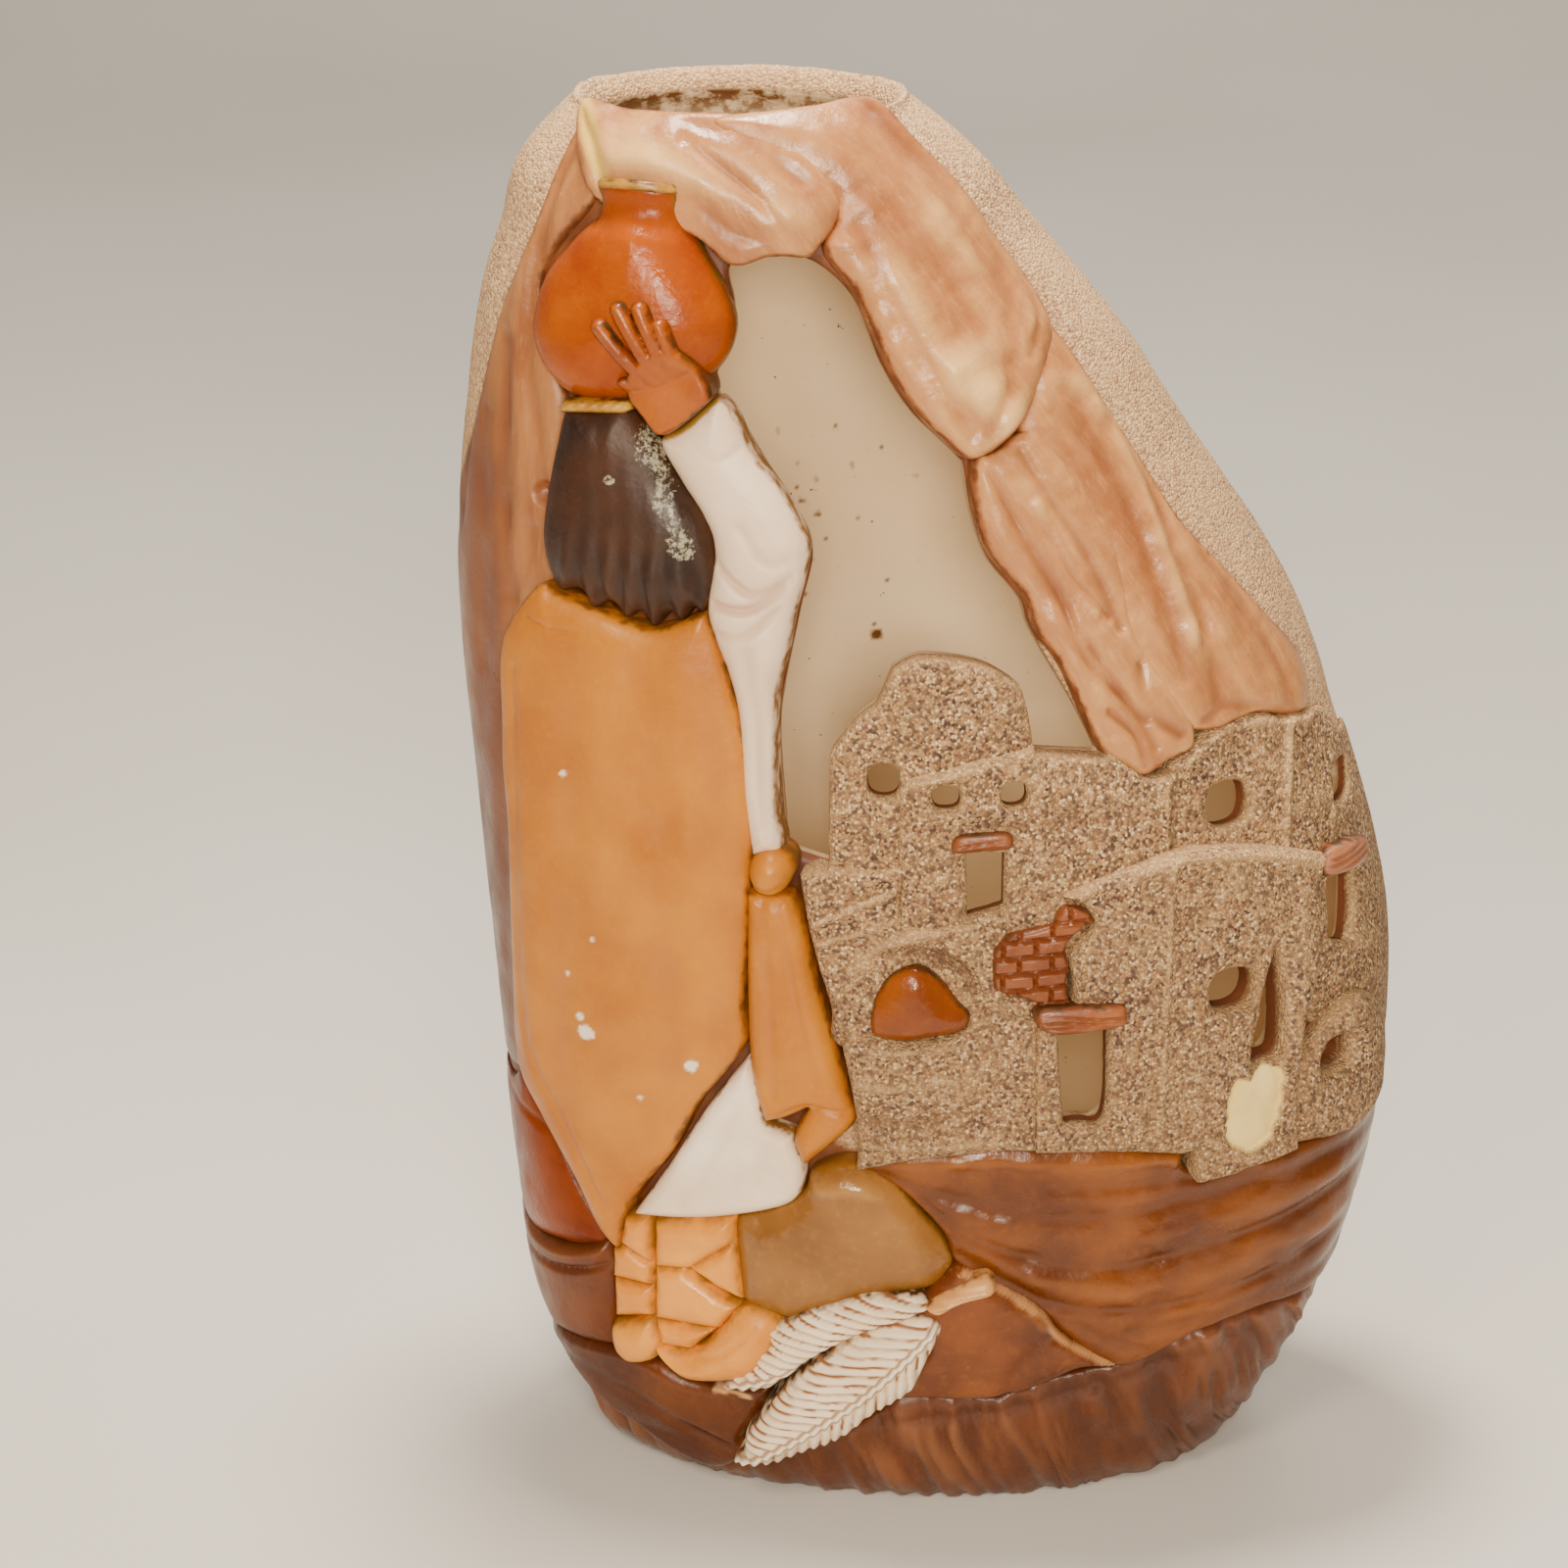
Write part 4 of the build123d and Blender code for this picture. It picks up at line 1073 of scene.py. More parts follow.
def feather(node, outline, base, tip, rise):
    """Feather with a quill from base to tip and slanting barbs beside it."""
    start, end = np.array(base, float), np.array(tip, float)
    along = (end - start) / np.linalg.norm(end - start)
    across = np.array([-along[1], along[0]])

    def barbs(x, z):
        u = (x - start[0]) * along[0] + (z - start[1]) * along[1]
        v = (x - start[0]) * across[0] + (z - start[1]) * across[1]
        v = v - 2.2 * np.sin(np.clip(u / np.linalg.norm(end - start), 0, 1) * math.pi)
        wobble = 0.5 * lumps(x, z, 4, 52)
        return u, v, np.sin((u - 1.1 * np.abs(v) + wobble) * 2 * math.pi / 3.6)

    def height(x, z, inset, plain=False):
        u, v, wave = barbs(x, z)
        quill = 1.1 * np.exp(-(v / 0.8) ** 2)
        body = rise * crown(inset, 5, 0.6)
        return body if plain else body + (0.55 * wave + 0.2) * smooth_step(0, 1.2, inset) + quill

    def mark(x, z):
        u, v, wave = barbs(x, z)
        stroke = smooth_step(-0.45, -0.8, wave) * smooth_step(0.9, 1.6, np.abs(v))
        gaps = smooth_step(-0.15, 0.25, lumps(x, z, 3, 57))
        quill_line = smooth_step(1.25, 0.95, np.abs(v)) * smooth_step(0.35, 0.75, np.abs(v))
        return np.clip(stroke * (0.45 + 0.55 * gaps) + 0.8 * quill_line, 0, 1)

    add_relief(node, "feather_white", outline, height, step=0.35, mark=mark)


FEATHER_UPPER = [
    (-51.5, 39.5), (-48, 41.5), (-47, 45), (-42.5, 48), (-41, 52), (-38, 55), (-38.5, 59), (-33, 62),
    (-29, 65.5), (-22, 68), (-15, 71), (-8, 71.5), (-2, 71.5), (1, 68), (-8, 63), (-17, 59),
    (-29, 50.5), (-37, 42.5), (-43, 40),
]
FEATHER_LOWER = [
    (-46, 18.5), (-44, 23), (-43.5, 28), (-40, 34), (-36, 40.5), (-29.5, 49.5), (-22, 56), (-14, 62),
    (-6, 65), (0, 66), (3.5, 63), (2, 58), (-0.5, 52), (-3, 46), (-8, 41.5), (-13, 37.5), (-18, 32),
    (-22.5, 28.5), (-29, 25), (-35, 21), (-41, 18),
]
feather("feather_upper", FEATHER_UPPER, (2, 68), (-50, 41), 12)
feather("feather_lower", FEATHER_LOWER, (2, 64), (-45, 19.5), 14.5)
add_relief(
    "feather_stick", "stick_tan",
    [(-1, 68), (2, 71.5), (6, 74.5), (10, 76.5), (14.5, 77.5), (16.8, 75), (16, 71.8), (9, 69.5), (3, 66)],
    pillow(13, 3.2, lambda x, z: 0.4 * ripples(z, x, 0.2, 2.2, 61)), step=0.4)

BOULDER = [
    (-31, 97), (-28.5, 103), (-21, 106.5), (-14, 105.5), (-7, 100), (-1, 92), (4.5, 85), (6.5, 78),
    (2, 72), (-8, 68.5), (-21, 63), (-32, 60), (-40, 61), (-46, 65), (-47, 76), (-47, 88), (-40, 91),
]
add_relief(
    "boulder", "boulder_olive", BOULDER,
    pillow(10, 12, lambda x, z: 0.6 * lumps(x, z, 17, 71)
           + groove(x, z, [(-26, 99), (-18, 101), (-11, 99)], 2.2, -0.9), 0.3), step=0.6)
GROUND_SLAB = [
    (7, 79.5), (15, 74.5), (23, 69.5), (28.5, 65.5), (33, 59), (41, 51.5), (47.5, 46.5), (38, 47),
    (29, 43), (16, 39.5), (0, 39.5), (-8, 40.5), (-7, 48), (-2, 56), (-8, 62), (0, 72),
]


def slab_detail(x, z):
    """Raised front lip and a few facets. The lip's bright line is a painted highlight, from the slab's mark.
    """
    lip = groove(x, z, [(8, 78), (24, 68), (32, 59), (46, 48)], 1.4, -0.9)
    return lip + groove(x, z, [(30, 58), (22, 50), (20, 42)], 2.0, 0.8) + 0.5 * lumps(x, z, 11, 73)


def highlight_line(points, width):
    """Painted highlight along a line, broken up in places."""
    line = smooth_outline(points, closed=False)
    return lambda x, z: 0.85 * smooth_step(
        width, 0.4 * width, line_distance(x, z, line) + 0.4 * lumps(x, z, 2.5, 35))


# Painted highlight along the slab's upper edge.
SLAB_EDGE = [(9, 77.5), (16, 73.2), (24, 67.8), (28.5, 64), (33, 57), (46, 47)]
add_relief(
    "ground_slab", "ledge_brown", GROUND_SLAB, pillow(9.5, 5, slab_detail), paint="slab_brown", step=0.6,
    mark=highlight_line(SLAB_EDGE, 1.0))
GROUND_STEP = [
    (-97, 36), (-88, 40), (-77, 42.5), (-66, 41.5), (-56, 38), (-48, 39), (-38, 41), (-40, 33),
    (-45, 22), (-42, 18), (-52, 9.5), (-64, 12), (-77, 19), (-88, 27),
]
# The ground step takes the darker step paint as painted shade, and a painted highlight along its upper edge.
add_relief(
    "ground_step", "ledge_brown", GROUND_STEP,
    pillow(8.5, 3.5, lambda x, z: groove(x, z, [(-90, 34), (-72, 30), (-56, 22), (-46, 18)], 1.8, 1.1)
           + 0.6 * lumps(x, z, 9, 75)),
    paint="step_brown_shaded", step=0.6, mark=highlight_line([(-52, 37), (-47, 37.5), (-43, 37)], 0.9))

RED_JAR = [
    (-107, 105), (-104, 109.5), (-99.5, 110), (-96.5, 104), (-92, 95), (-87, 85), (-79.5, 72.5),
    (-86, 68), (-93, 66), (-101, 63.5), (-109, 63), (-118, 64), (-121, 76), (-121, 92), (-114, 103),
]
add_relief(
    "red_jar", "orange_pot", RED_JAR,
    pillow(7, 9, lambda x, z: groove(x, z, [(-112, 101), (-104, 102), (-95, 99)], 1.1, 1.3)),
    paint="red_pot", step=0.6)
JAR_BOWL = [
    (-120, 61), (-112, 64, 0), (-103.5, 64.5), (-96, 65.5), (-87, 68.5), (-79, 73.5, 0), (-77, 68),
    (-76.5, 60), (-76.5, 48), (-77, 42), (-88, 39), (-94, 36.5), (-100, 40), (-108, 46), (-118, 52),
]
add_relief(
    "jar_bowl", "ledge_brown", JAR_BOWL,
    pillow(8.5, 7, lambda x, z: groove(x, z, [(-112, 59), (-100, 59), (-88, 62), (-78, 67)], 1.0, 1.3)
           + groove(x, z, [(-110, 62.5), (-100, 63), (-88, 66), (-79, 71)], 1.1, -0.9)),
    paint="bowl_brown", step=0.6)


# ---------------------------------------------------------------- the rocks

ARCH_TOP = [
    (-84, 361), (-72, 362), (-60, 362.6), (-49, 362.5), (-37, 358.5), (-27.5, 353), (-24.5, 346),
    (-25.5, 340), (-29, 335.5), (-32, 333), (-40, 333.5), (-49, 331.5), (-58, 338),
    (-72, 341), (-82, 346),
]
# Painted highlight: bright gold-yellow in the fold above the jar
VALLEY_HIGHLIGHT = np.array([(-83, 361), (-80, 355), (-78, 350)], float)
ARCH_MIDDLE = [
    (-52, 361.8), (-32, 363.4), (-20, 363.3), (-9, 354), (3, 341.5), (10, 331.5), (18, 321), (24, 311),
    (24, 305), (22, 299), (19, 291.5), (13, 286), (7, 284), (1.5, 288.5), (-6, 296.5), (-13, 308),
    (-20, 323.5), (-28, 334), (-26, 340), (-26.5, 345), (-32, 350.5), (-42, 355.5), (-52, 358.5),
]
ARCH_OUTER = [
    (19, 317), (24, 311.5), (31.5, 302), (40, 289), (49, 275), (57.5, 262), (67.5, 250.5), (79, 237),
    (90, 223), (90, 211.5), (77, 215), (67, 213.5), (57, 217), (47.5, 230), (42, 242), (39.5, 253),
    (34.5, 264), (27, 275), (18, 288.5), (19.5, 300), (18.5, 308),
]
ARCH_INNER = [
    (8, 284), (13, 285.5), (19.5, 290), (24, 289), (32, 278), (39.5, 267.5), (44.5, 256), (46.5, 243),
    (52, 232), (60, 221), (62, 211), (56, 208), (50, 205), (45, 208), (40.5, 211.5), (35, 223),
    (30, 233.5), (24, 242.5), (21, 251), (13, 260.5), (9, 271),
]


CREASE_DEPTH = 1.05


def creases(lines, seed, lump=0.7, size=17):
    """Detail made of furrows (points, width, depth) and soft lumps."""
    def detail(x, z):
        cuts = sum(groove(x, z, points, width, CREASE_DEPTH * depth) for points, width, depth in lines)
        return cuts + lump * lumps(x, z, size, seed) + 0.2 * lumps(x, z, 3.5, seed + 1)
    return detail


add_relief("arch_rock_top", "arch_rock", ARCH_TOP, pillow(8.5, 9, creases([
    ([(-85, 360), (-80, 354), (-78, 348)], 1.6, 1.8),
    ([(-75, 361), (-62, 360), (-46, 357), (-34, 349)], 2.2, 0.9),
    ([(-75, 353), (-62, 352), (-50, 346), (-38, 342)], 3.0, -1.3),
    ([(-60, 357), (-48, 350), (-38, 340)], 1.3, 1.0),
    ([(-54, 343), (-46, 338), (-34, 337)], 1.8, 0.8),
], 81), 0.6), step=0.55, mark=lambda x, z: 0.8 * smooth_step(3.4, 0.6, line_distance(x, z, VALLEY_HIGHLIGHT)))
add_relief("arch_rock_middle", "arch_rock", ARCH_MIDDLE, pillow(9.5, 9, creases([
    ([(-18, 361), (-4, 344), (10, 323), (15, 305), (11, 291)], 2.6, 1.2),
    ([(-21, 339), (-12, 319), (-1, 302), (7, 290)], 2.4, 0.9),
    ([(-10, 346), (4, 328), (18, 312)], 3.0, -1.0),
    ([(-17, 330), (-6, 314), (2, 300)], 3.2, -0.9),
    ([(5, 306), (12, 296), (15, 290)], 5.0, -1.4),
    ([(16, 325), (20, 314), (19, 305)], 1.4, 0.7),
], 83), 0.6), step=0.55)
add_relief("arch_rock_outer", "arch_rock", ARCH_OUTER, pillow(7.5, 8, creases([
    ([(32, 306), (42, 289), (49, 273), (54, 259), (62, 240), (67, 221)], 1.7, 1.2),
    ([(25, 292), (35, 282), (44, 267), (52, 248), (59, 227)], 1.6, 1.1),
    ([(40, 297), (52, 278), (62, 258), (72, 238)], 2.4, 0.8),
    ([(36, 292), (46, 274), (54, 254), (60, 236)], 1.8, -1.0),
    ([(70, 246), (80, 228), (84, 217)], 1.6, 0.9),
    ([(64, 216), (70, 219), (78, 216)], 1.4, 1.0),
    ([(24, 300), (32, 296), (36, 290)], 2.4, -0.8),
], 85), 0.6), step=0.55)
add_relief("arch_rock_inner", "arch_rock", ARCH_INNER, pillow(8, 6, creases([
    ([(11, 281), (20, 264), (29, 249), (35, 235), (50, 219)], 1.2, 1.3),
    ([(18, 285), (25, 273), (35, 258), (43, 241)], 1.3, 1.0),
    ([(25, 266), (32, 254), (40, 244)], 1.0, 0.9),
    ([(36, 238), (44, 226), (52, 212)], 1.3, 1.2),
    ([(41, 222), (47, 216), (50, 208)], 1.0, 1.3),
    ([(48, 232), (50, 222), (58, 214)], 1.6, 1.1),
    ([(22, 272), (30, 258), (37, 246)], 1.5, -0.8),
], 87, 0.5, 12), 0.6), step=0.5)

CLIFF_LEFT = [
    (-83, 362), (-81, 350), (-83, 343), (-90, 334), (-95.5, 324), (-95, 312), (-91, 301), (-89, 292),
    (-91, 277), (-92.5, 262), (-90, 251), (-98, 243), (-102.5, 233), (-102.5, 199), (-101.5, 160),
    (-101.5, 122), (-98, 112), (-102, 110.5), (-108, 108), (-121, 104), (-138, 104), (-141, 150),
    (-141, 200), (-136, 228), (-119.5, 250), (-115.5, 273), (-111.5, 292), (-106, 313),
    (-98, 333), (-90, 352),
]


def cliff_height(x, z, inset, plain=False):
    """Upright weathered rock: broad columns, clefts and a small pocket."""
    lines = [
        ([(-85, 361), (-92, 344), (-96, 325), (-98, 306), (-96, 285), (-95, 272)], 1.8, 1.5),
        ([(-104, 307), (-105, 270), (-103, 236), (-107, 202), (-107, 164), (-107, 120)], 2.2, 1.4),
        ([(-110, 288), (-111, 254), (-112, 217), (-113, 175), (-113, 130)], 2.4, 1.1),
        ([(-98, 262), (-99, 252), (-103, 243)], 2.0, 1.0),
        ([(-100, 330), (-101, 300), (-101, 275)], 2.6, -0.9),
        ([(-122, 230), (-123, 180), (-122, 130)], 3.0, 1.0),
    ]
    rough = sum(groove(x, z, *line) for line in lines) + 0.7 * lumps(x * 1.4, z * 0.35, 9, 91)
    pocket = -2.2 * smooth_step(3.6, 1.2, np.hypot(x + 94.5, (z - 271) * 0.9))
    nub = 1.2 * smooth_step(4.0, 1.0, np.hypot(x + 99.5, z - 238))
    body = 3.0 * crown(inset, 5, 0.3)
    return body if plain else body + (rough + pocket + nub) * smooth_step(0, 2.5, inset)


def cliff_mark(x, z):
    """Where the warm tan turns to mauve brown, lower down and outwards."""
    return np.clip(
        smooth_step(-98, -110, x) * 0.7 + smooth_step(240, 110, z) * 0.5 + 0.3 * lumps(x, z, 15, 92), 0, 1)


add_relief("cliff_left", "cliff_rock", CLIFF_LEFT, cliff_height, step=0.7, mark=cliff_mark)

NICHE = [
    (-14, 147), (-13, 153), (-10, 158.5), (-5, 161.5), (-1, 161), (3, 157.5), (6.5, 152.5),
    (9.5, 149), (7.5, 144.8), (0, 143), (-7, 142), (-13, 143.3)]
add_relief("niche_boulder", "niche_orange", NICHE, pillow(14.5, 9, None, 0.66), step=0.45)


# ---------------------------------------------------------------- the buildings

RIDGE_SHARE = 1.4


def wall(rise, edge=2.2, start=0.72, ridges=(), seed=101):
    """Height of a worn sandy wall."""
    def height(x, z, inset, plain=False):
        body = rise * crown(inset, edge, start)
        if plain:
            return body
        body = body + RIDGE_SHARE * sum(groove(x, z, *line) for line in ridges) * smooth_step(0, 2, inset)
        return body + 0.6 * lumps(x, z, 10, seed) + 0.35 * lumps(x, z, 2.6, seed + 1)
    return height


def sand_piece(node, outline, height, step=0.65, **options):
    """Plastered wall, with its windows and doors cut through."""
    add_relief(node, "sand_wall", outline, height, step=step, holes=True, **options)


TOWER = [
    (-25.3, 183, 0), (-25.3, 200), (-25.3, 214.5, 0), (-21, 219.5), (-19, 221, 0), (-17, 225.5),
    (-13.5, 226.5, 0), (-12.5, 232), (-10.5, 234.8), (-6, 237.5), (0, 238), (6, 236.3), (11, 235.2),
    (16, 232.8), (21.5, 230.5, 0), (22, 226), (22.6, 221), (24.5, 214.5, 0), (24.5, 207, 0),
    (-7, 200, 0), (-7, 183, 0),
]
sand_piece("tower", TOWER, wall(6.5, 3, 0.6, [([(-6, 216), (8, 214), (22, 218)], 1.2, 0.6)], 111))
UPPER_ROW = [
    (-8, 168, 0), (-8, 205.5, 0), (-4, 208.8), (2, 210), (9, 212), (17, 213.6), (24.5, 215.5, 0),
    (34, 213.6), (41, 212.2), (47, 207.5), (51, 204.8), (57.5, 205.5, 0), (57.5, 182, 0),
    (32, 170, 0), (12, 168, 0),
]
ROW_EDGES = [
    ([(-4, 207.5), (10, 210.5), (24, 213.5), (38, 211)], 1.3, -1.0),
    ([(54.5, 203), (55, 192), (55, 184)], 0.8, -0.8),
    ([(-6, 195), (8, 196), (22, 196), (40, 197)], 2.4, 0.8),
    ([(24, 213), (25, 200), (25, 186)], 1.6, -0.6),
]
sand_piece("upper_row", UPPER_ROW, wall(8.8, 2.4, 0.7, ROW_EDGES, 113))
RIGHT_BLOCK = [
    (56.5, 182, 0), (56.5, 206.5, 0), (61, 210), (67.5, 214.2), (77, 215.6), (83, 213), (89.5, 212, 0),
    (97, 209), (103, 200.5), (113, 198), (121, 188), (122, 172), (122, 164),
    (97, 170, 0), (70, 180, 0),
]
RIGHT_EDGES = [
    ([(60, 207), (68, 212), (80, 213), (90, 210)], 1.4, -1.2),
    ([(84.5, 211), (84.5, 196), (84.5, 180)], 0.9, -1.0),
    ([(98, 205), (97, 190), (97, 178)], 1.2, -0.8),
]
sand_piece("right_block", RIGHT_BLOCK, wall(6.2, 3, 0.55, RIGHT_EDGES, 115))
STRATA = [
    (-31.5, 183, 0), (-25, 185.5), (-15, 185), (-6, 186, 0), (-6, 172), (14, 173, 0), (32, 178.5, 0),
    (38, 172), (33, 160), (27, 146), (14, 143), (-20, 138), (-24, 150), (-29, 168),
]
STRATA_RIDGES = [
    ([(-28, 171), (-18, 176), (-7, 181)], 1.1, -1.6),
    ([(-27, 166), (-16, 170), (-3, 175)], 1.0, -1.4),
    ([(-26, 178), (-16, 182), (-8, 184)], 1.0, -0.9),
    ([(-19, 160), (-11, 166), (2, 171), (18, 175), (30, 178)], 1.5, -2.0),
    ([(-22, 152), (-17, 158), (-12, 163)], 1.1, -1.2),
    ([(-13, 163.5), (-5, 165), (5, 162), (11, 155)], 1.6, 1.6),
    ([(-23, 146), (-16, 141), (-4, 139.5), (8, 142), (16, 148)], 1.5, -1.2),
]
sand_piece("strata", STRATA, wall(9, 2.4, 0.7, STRATA_RIDGES, 117), 0.55)
FRONT_BLOCK = [
    (30, 178.5, 0), (38, 181.5), (46, 184), (56, 186.8), (64, 186.6), (74, 185), (84, 181.8),
    (91.5, 178.5, 0), (91.5, 150, 0), (89, 138), (87.5, 124), (88, 104, 0), (82, 102.5), (64, 99.5, 0),
    (63.5, 109, 0), (58, 109), (42, 111), (25, 112, 0), (25, 145.5, 0), (33, 150.5), (33.5, 157),
    (32.5, 164), (37.5, 169.5), (36, 174.8),
]
FRONT_EDGES = [
    ([(32, 177.5), (44, 181.5), (56, 184.8), (74, 183), (90, 177)], 1.4, -1.1),
    ([(55.5, 183), (55, 150), (54.5, 116)], 0.9, -0.9),
    ([(26, 113), (27, 130), (27, 143)], 1.6, 0.6),
    ([(66, 112), (80, 104), (92, 108)], 1.6, -1.0),
    ([(86.5, 172), (87, 150), (86, 134)], 1.2, -0.7),
]
PALE_DOOR = smooth_outline([
    (71.5, 109, 0), (70, 114), (70.5, 120.5), (71.5, 125.5), (73, 127.5, 0), (75.5, 126.3, 0),
    (78.5, 129), (81, 128.6), (83.5, 126), (83, 117.5), (81, 110, 0), (76, 107),
])


def door_share(x, z):
    """1 on the smooth pale door, 0 on the sand around it."""
    return smooth_step(-0.35, 0.35, inside_depth(x, z, PALE_DOOR) + 0.5 * lumps(x, z, 1.6, 127))


front_wall = wall(12, 2.2, 0.75, FRONT_EDGES, 119)


def front_height(x, z, inset, plain=False):
    """Front wall with the door a little sunk and smooth."""
    body = front_wall(x, z, inset, plain)
    if plain:
        return body
    sink = 1.0 + 0.4 * smooth_step(3, 0, inside_depth(x, z, PALE_DOOR))
    return body - door_share(x, z) * sink


sand_piece("front_block", FRONT_BLOCK, front_height, mark=door_share)
LOWER_BLOCK = [
    (-21, 141, 0), (-14, 143), (0, 142), (9, 146), (16, 150, 0), (25.5, 147.5, 0), (26, 112.5, 0),
    (12, 112), (-4, 109.5), (-17, 106.5, 0), (-17, 120),
]
LOWER_RIDGES = [
    ([(-18, 131), (-8, 130), (4, 133)], 1.3, -0.9),
    ([(-18, 122), (-6, 120), (8, 123), (22, 121)], 1.6, 0.8),
    ([(-16, 115), (0, 114), (14, 116), (24, 114)], 1.3, -1.1),
    ([(-20, 139.5), (-6, 140), (6, 142)], 1.4, -0.9),
]
sand_piece("lower_block", LOWER_BLOCK, wall(12, 2.4, 0.75, LOWER_RIDGES, 121))
FAR_WALL = [
    (91, 179, 0), (108, 173), (121, 166), (124, 150), (123, 130), (120, 108, 0), (112, 104),
    (97, 101, 0), (95, 130), (91, 150),
]
sand_piece("far_wall", FAR_WALL, wall(5, 3.5, 0.5, [([(98, 156), (108, 150), (118, 152)], 1.6, -1.3)], 123))
OVEN_MOUND = [
    (87, 104, 0), (87.5, 118), (91, 129), (98.5, 137.5), (105, 139), (112, 131), (116, 118),
    (115, 106), (104, 101.5, 0)]
sand_piece("oven_mound", OVEN_MOUND, wall(11, 6, 0.5, (), 125))

BRICKS = [
    (14.5, 165, 0), (18, 169), (24, 170.5), (28.5, 171.5, 0), (29, 174), (31, 176), (35.5, 175),
    (38, 172, 0), (34, 169), (31.5, 165.5), (32.5, 160), (32, 155), (33.5, 149.5, 0), (28, 149.5),
    (23, 152.5), (15, 155, 0), (14.5, 160),
]
COURSE = 4.1
BRICK = 7.6


def brick_height(x, z, inset, plain=False):
    """Slightly slanting courses of bricks with sunk joints."""
    level = (z - 0.06 * x - 150) / COURSE
    row = np.floor(level)
    to_bed = np.abs(level - row - 0.5) * COURSE
    shift = np.where(row % 2 == 0, 0.0, 0.5)
    across = (x - 13) / BRICK + shift
    to_joint = np.abs(across - np.floor(across) - 0.5) * BRICK
    bed = smooth_step(COURSE / 2 - 0.9, COURSE / 2 - 0.1, to_bed)
    joint = smooth_step(BRICK / 2 - 0.7, BRICK / 2 - 0.1, to_joint)
    sunk = np.maximum(bed, joint)
    proud = 1.6 * smooth_step(170.5, 172.5, z)
    if plain:
        return 11.8 + proud
    return (11.8 + proud - 1.5 * sunk + 0.25 * lumps(x, z, 3, 131)) * (0.85 + 0.15 * crown(inset, 1.5, 0))


add_relief("adobe_bricks", "adobe_red", BRICKS, brick_height, step=0.35)


def lintel(node, outline, rise, paint=None):
    """Weathered wooden beam."""
    add_relief(
        node, "adobe_red", outline,
        pillow(rise, 1.9, lambda x, z: 0.3 * ripples(z, x, 0.05, 1.4, 141), 0.7), step=0.35, paint=paint)


lintel(
    "lintel_upper",
    [(4.8, 190), (5.2, 193.8), (11, 194.8), (17.8, 194.4), (18.2, 190.8), (12, 190.2)], 11.5)
lintel(
    "lintel_lower",
    [(24.4, 147.5), (25, 150.8), (33, 151.4), (43.8, 151), (45.6, 149.2), (44.8, 145.6), (36, 144.4),
     (28, 144.4)], 15.8)
lintel(
    "lintel_right",
    [(91.5, 173), (92.5, 178.4), (98.5, 178.6), (105, 176.4), (106, 173), (104, 170.8), (97, 171.2)],
    11.5, "lintel_pink")


# ---------------------------------------------------------------- ledge and base

LEDGE = [
    (-18, 105.5), (-12, 109), (-2, 111.5), (10, 113), (22, 113), (40, 111.5), (58, 109.5),
    (63.5, 110.5, 0), (64, 101), (82, 102), (104, 102.5), (116, 105), (128, 108), (140, 110),
    (142, 84), (136, 68), (118, 61), (96, 54.5), (83, 55), (68, 52.5), (48, 45), (34, 56.5),
    (24, 67.5), (8, 77), (3, 88), (-7, 99),
]
LEDGE_LINES = [
    ([(-12, 104), (13, 95), (38, 91), (62, 93), (88, 96), (120, 99)], 2.4, 1.1),
    ([(-2, 96), (18, 83), (43, 76), (71, 79), (104, 87), (130, 92)], 2.2, 1.2),
    ([(8, 82), (28, 68), (51, 63), (76, 65), (99, 71), (130, 80)], 2.0, 1.2),
    ([(30, 100), (52, 99), (80, 98)], 1.8, 0.7),
    ([(20, 90), (42, 84), (70, 86), (100, 92)], 3.0, -0.8),
    ([(26, 75), (46, 69), (74, 72), (104, 79)], 3.0, -0.9),
    ([(50, 56), (72, 58), (96, 62), (120, 70)], 2.0, 0.9),
    ([(-8, 107), (12, 108), (40, 106), (62, 106)], 1.8, -0.8),
    ([(36, 61), (44, 55), (56, 50)], 1.4, 0.6),
    ([(60, 104), (84, 103), (112, 108)], 1.4, -0.6),
]
# Painted shade: the mark darkens the ledge towards its right side, which turns away from the light.
add_relief(
    "canyon_ledge", "ledge_brown", LEDGE,
    pillow(7, 5, creases(LEDGE_LINES, 151, 0.8, 14), 0.5), step=0.7,
    mark=lambda x, z: 0.5 * smooth_step(58, 108, x))
BASE = [
    (-112, 44), (-97, 36), (-77, 24), (-52, 12), (-43, 20), (-30, 24), (-13, 32), (-7, 39.5), (16, 38),
    (29, 42), (48, 45.5), (68, 53), (83, 55.5), (96, 55), (118, 62), (136, 69), (148, 50), (140, 16),
    (118, 1.2, 0), (-108, 1.2, 0), (-128, 20),
]


def base_height(x, z, inset, plain=False):
    """Upright striations, broken into slabs, that flatten towards the foot."""
    lean = x + 0.35 * (z - 25) + 2.5 * lumps(x, z, 22, 163)
    stria = 1.1 * lumps(lean * 2.2, z * 0.45, 7, 161) + 0.6 * lumps(lean * 3.4, z * 0.6, 5, 162)
    slabs = 1.3 * lumps(x, z, 24, 164)
    shelf = groove(x, z, [(-13, 31), (8, 33), (30, 36), (50, 41), (80, 48)], 2.0, 0.9)
    low = smooth_step(0, 14, z)
    body = 5.2 * crown(inset, 4, 0.4)
    return body if plain else body + (stria + slabs * low + shelf) * smooth_step(0, 3, inset)


add_relief("base_rock", "base_brown", BASE, base_height, step=0.75)


# ---------------------------------------------------------------- the stage

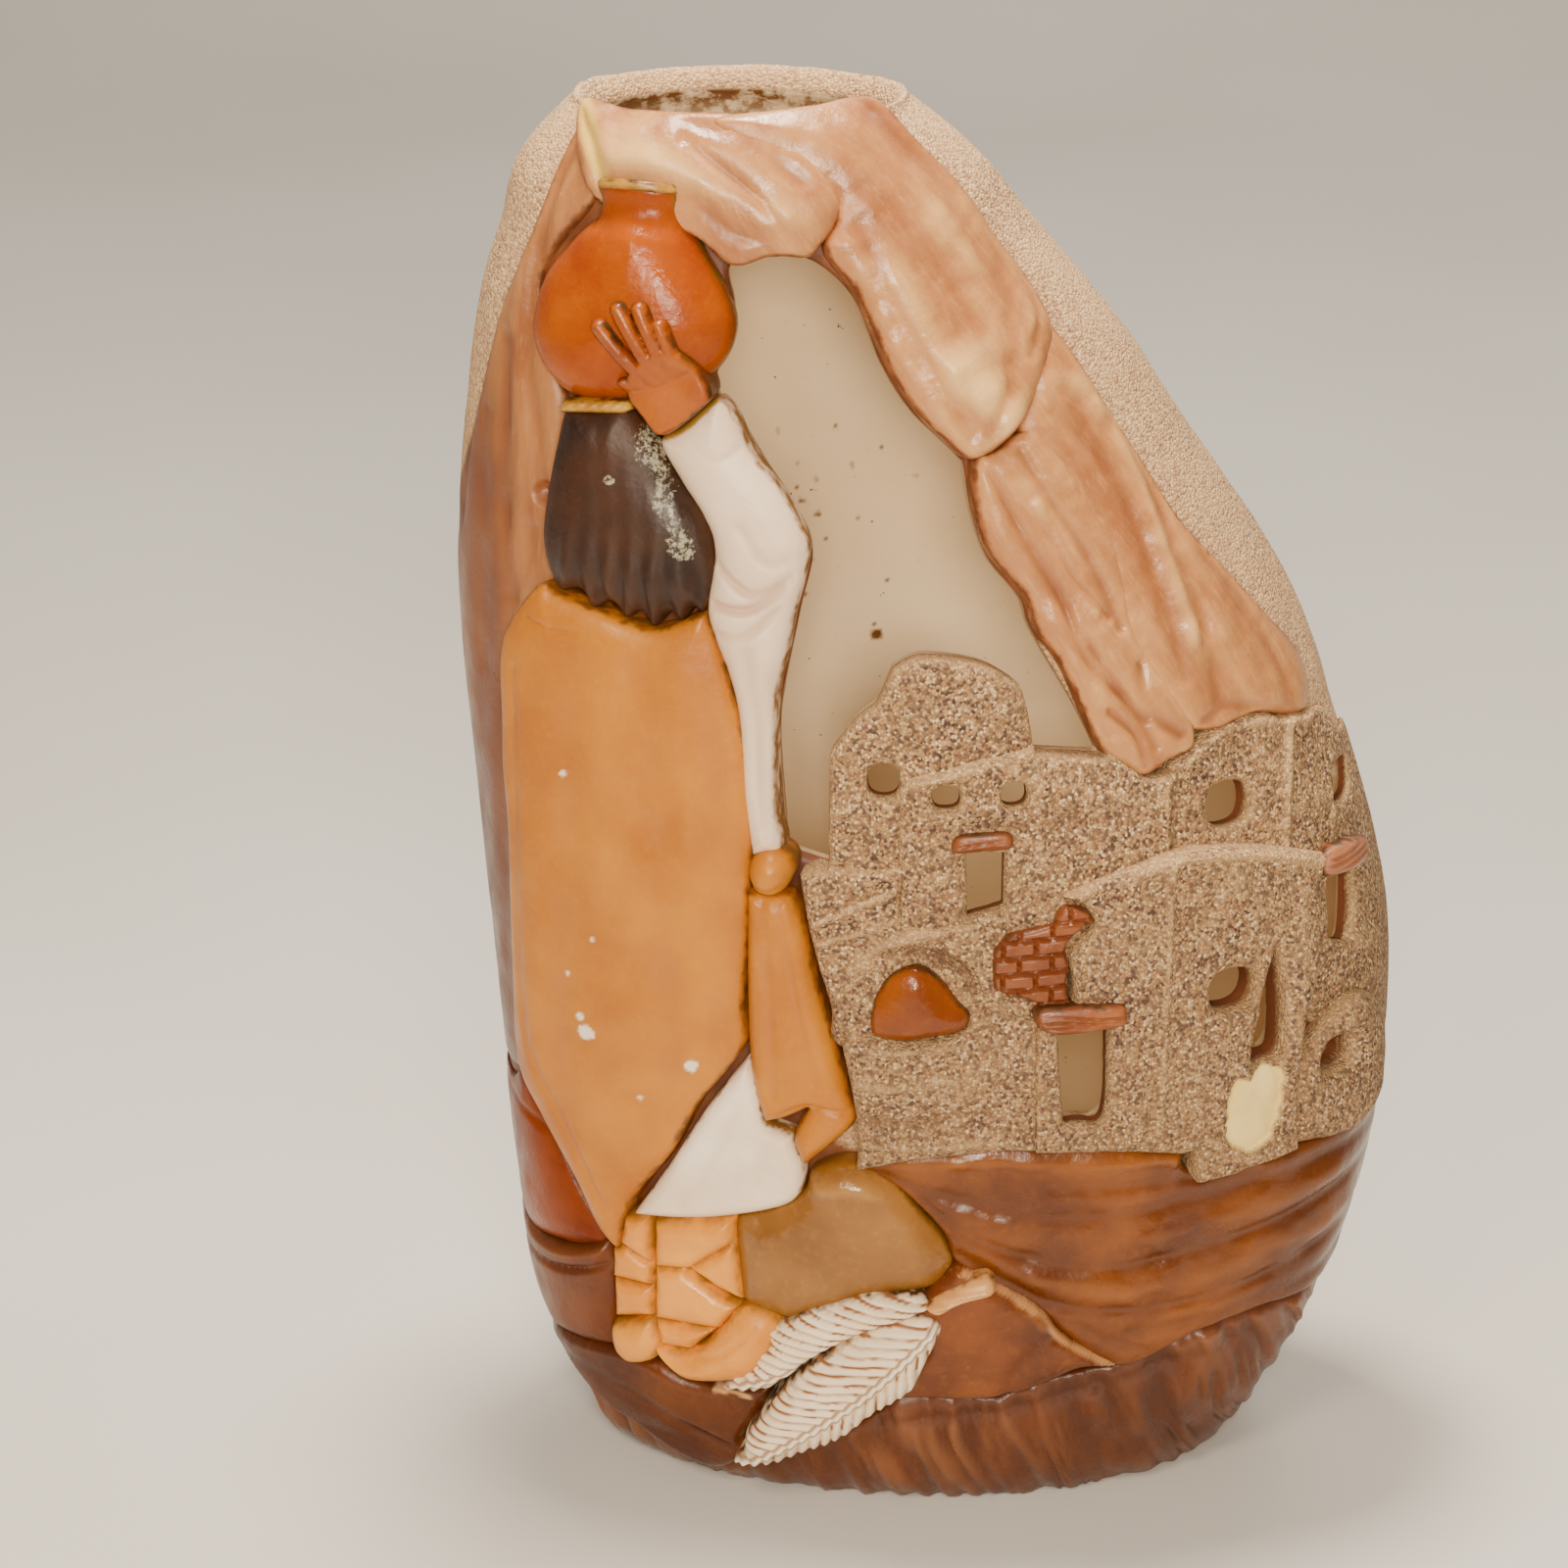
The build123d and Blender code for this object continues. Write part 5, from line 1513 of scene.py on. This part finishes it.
def make_stage():
    """Pale floor and backdrop in one sweep."""
    width, front, back, bend, wall = 3.0, -2.6, 1.3, 0.5, 2.4
    profile = [(front, 0.0), (back, 0.0)]
    profile += [
        (back + bend * math.sin(q), bend * (1 - math.cos(q)))
        for q in np.linspace(0.1, math.pi / 2, 12)]
    profile.append((back + bend, wall))
    points = [(side * width, y, z) for y, z in profile for side in (-1, 1)]
    faces = [[2 * i, 2 * i + 1, 2 * i + 3, 2 * i + 2] for i in range(len(profile) - 1)]
    mesh = bpy.data.meshes.new("floor")
    mesh.from_pydata(points, [], faces)
    mesh.shade_smooth()
    floor = bpy.data.objects.new("floor", mesh)
    bpy.context.scene.collection.objects.link(floor)
    paint = Paint("floor", roughness=0.9, specular=0.2)
    tone = paint.mix(paint.scale(paint.noise(300, 2), 0.3, 0.7), linear(214, 210, 204), linear(222, 219, 214))
    floor.data.materials.append(paint.finish(tone))


def add_light(name, place_at, size, power, colour, target):
    """Soft square light aimed at a point."""
    data = bpy.data.lights.new(name, "AREA")
    data.size = size
    data.energy = power
    data.color = colour
    light = bpy.data.objects.new(name, data)
    light.location = place_at
    light.rotation_euler = (Vector(target) - Vector(place_at)).to_track_quat("-Z", "Y").to_euler()
    bpy.context.scene.collection.objects.link(light)


CAMERA_AT = ((MIDDLE_X - 5) * MM, (MIDDLE_Y - 1300) * MM, 706 * MM)
CAMERA_AIM = ((MIDDLE_X - 38) * MM, MIDDLE_Y * MM, 180.5 * MM)
CAMERA_LENS = 125.2

make_stage()
centre = (0, 0, 0.18)
add_light("key", (-0.42, -1.2, 1.15), 0.4, 11, (1.0, 0.83, 0.62), centre)
add_light("front", (0.06, -1.5, 0.82), 0.35, 25, (1.0, 0.86, 0.68), centre)
add_light("back", (0.3, 1.1, 1.3), 0.9, 9, (1.0, 0.92, 0.82), centre)
add_light("top", (-0.05, 0.05, 1.0), 0.2, 12, (1.0, 0.9, 0.74), centre)
world = bpy.data.worlds.new("world")
world.use_nodes = True
world.node_tree.nodes["Background"].inputs["Color"].default_value = (1.0, 0.95, 0.88, 1)
world.node_tree.nodes["Background"].inputs["Strength"].default_value = 0.26
bpy.context.scene.world = world

camera_data = bpy.data.cameras.new("camera")
camera_data.lens = CAMERA_LENS
camera_data.sensor_width = 36
camera = bpy.data.objects.new("camera", camera_data)
camera.location = CAMERA_AT
camera.rotation_euler = (Vector(CAMERA_AIM) - Vector(CAMERA_AT)).to_track_quat("-Z", "Y").to_euler()
bpy.context.scene.collection.objects.link(camera)
bpy.context.scene.camera = camera
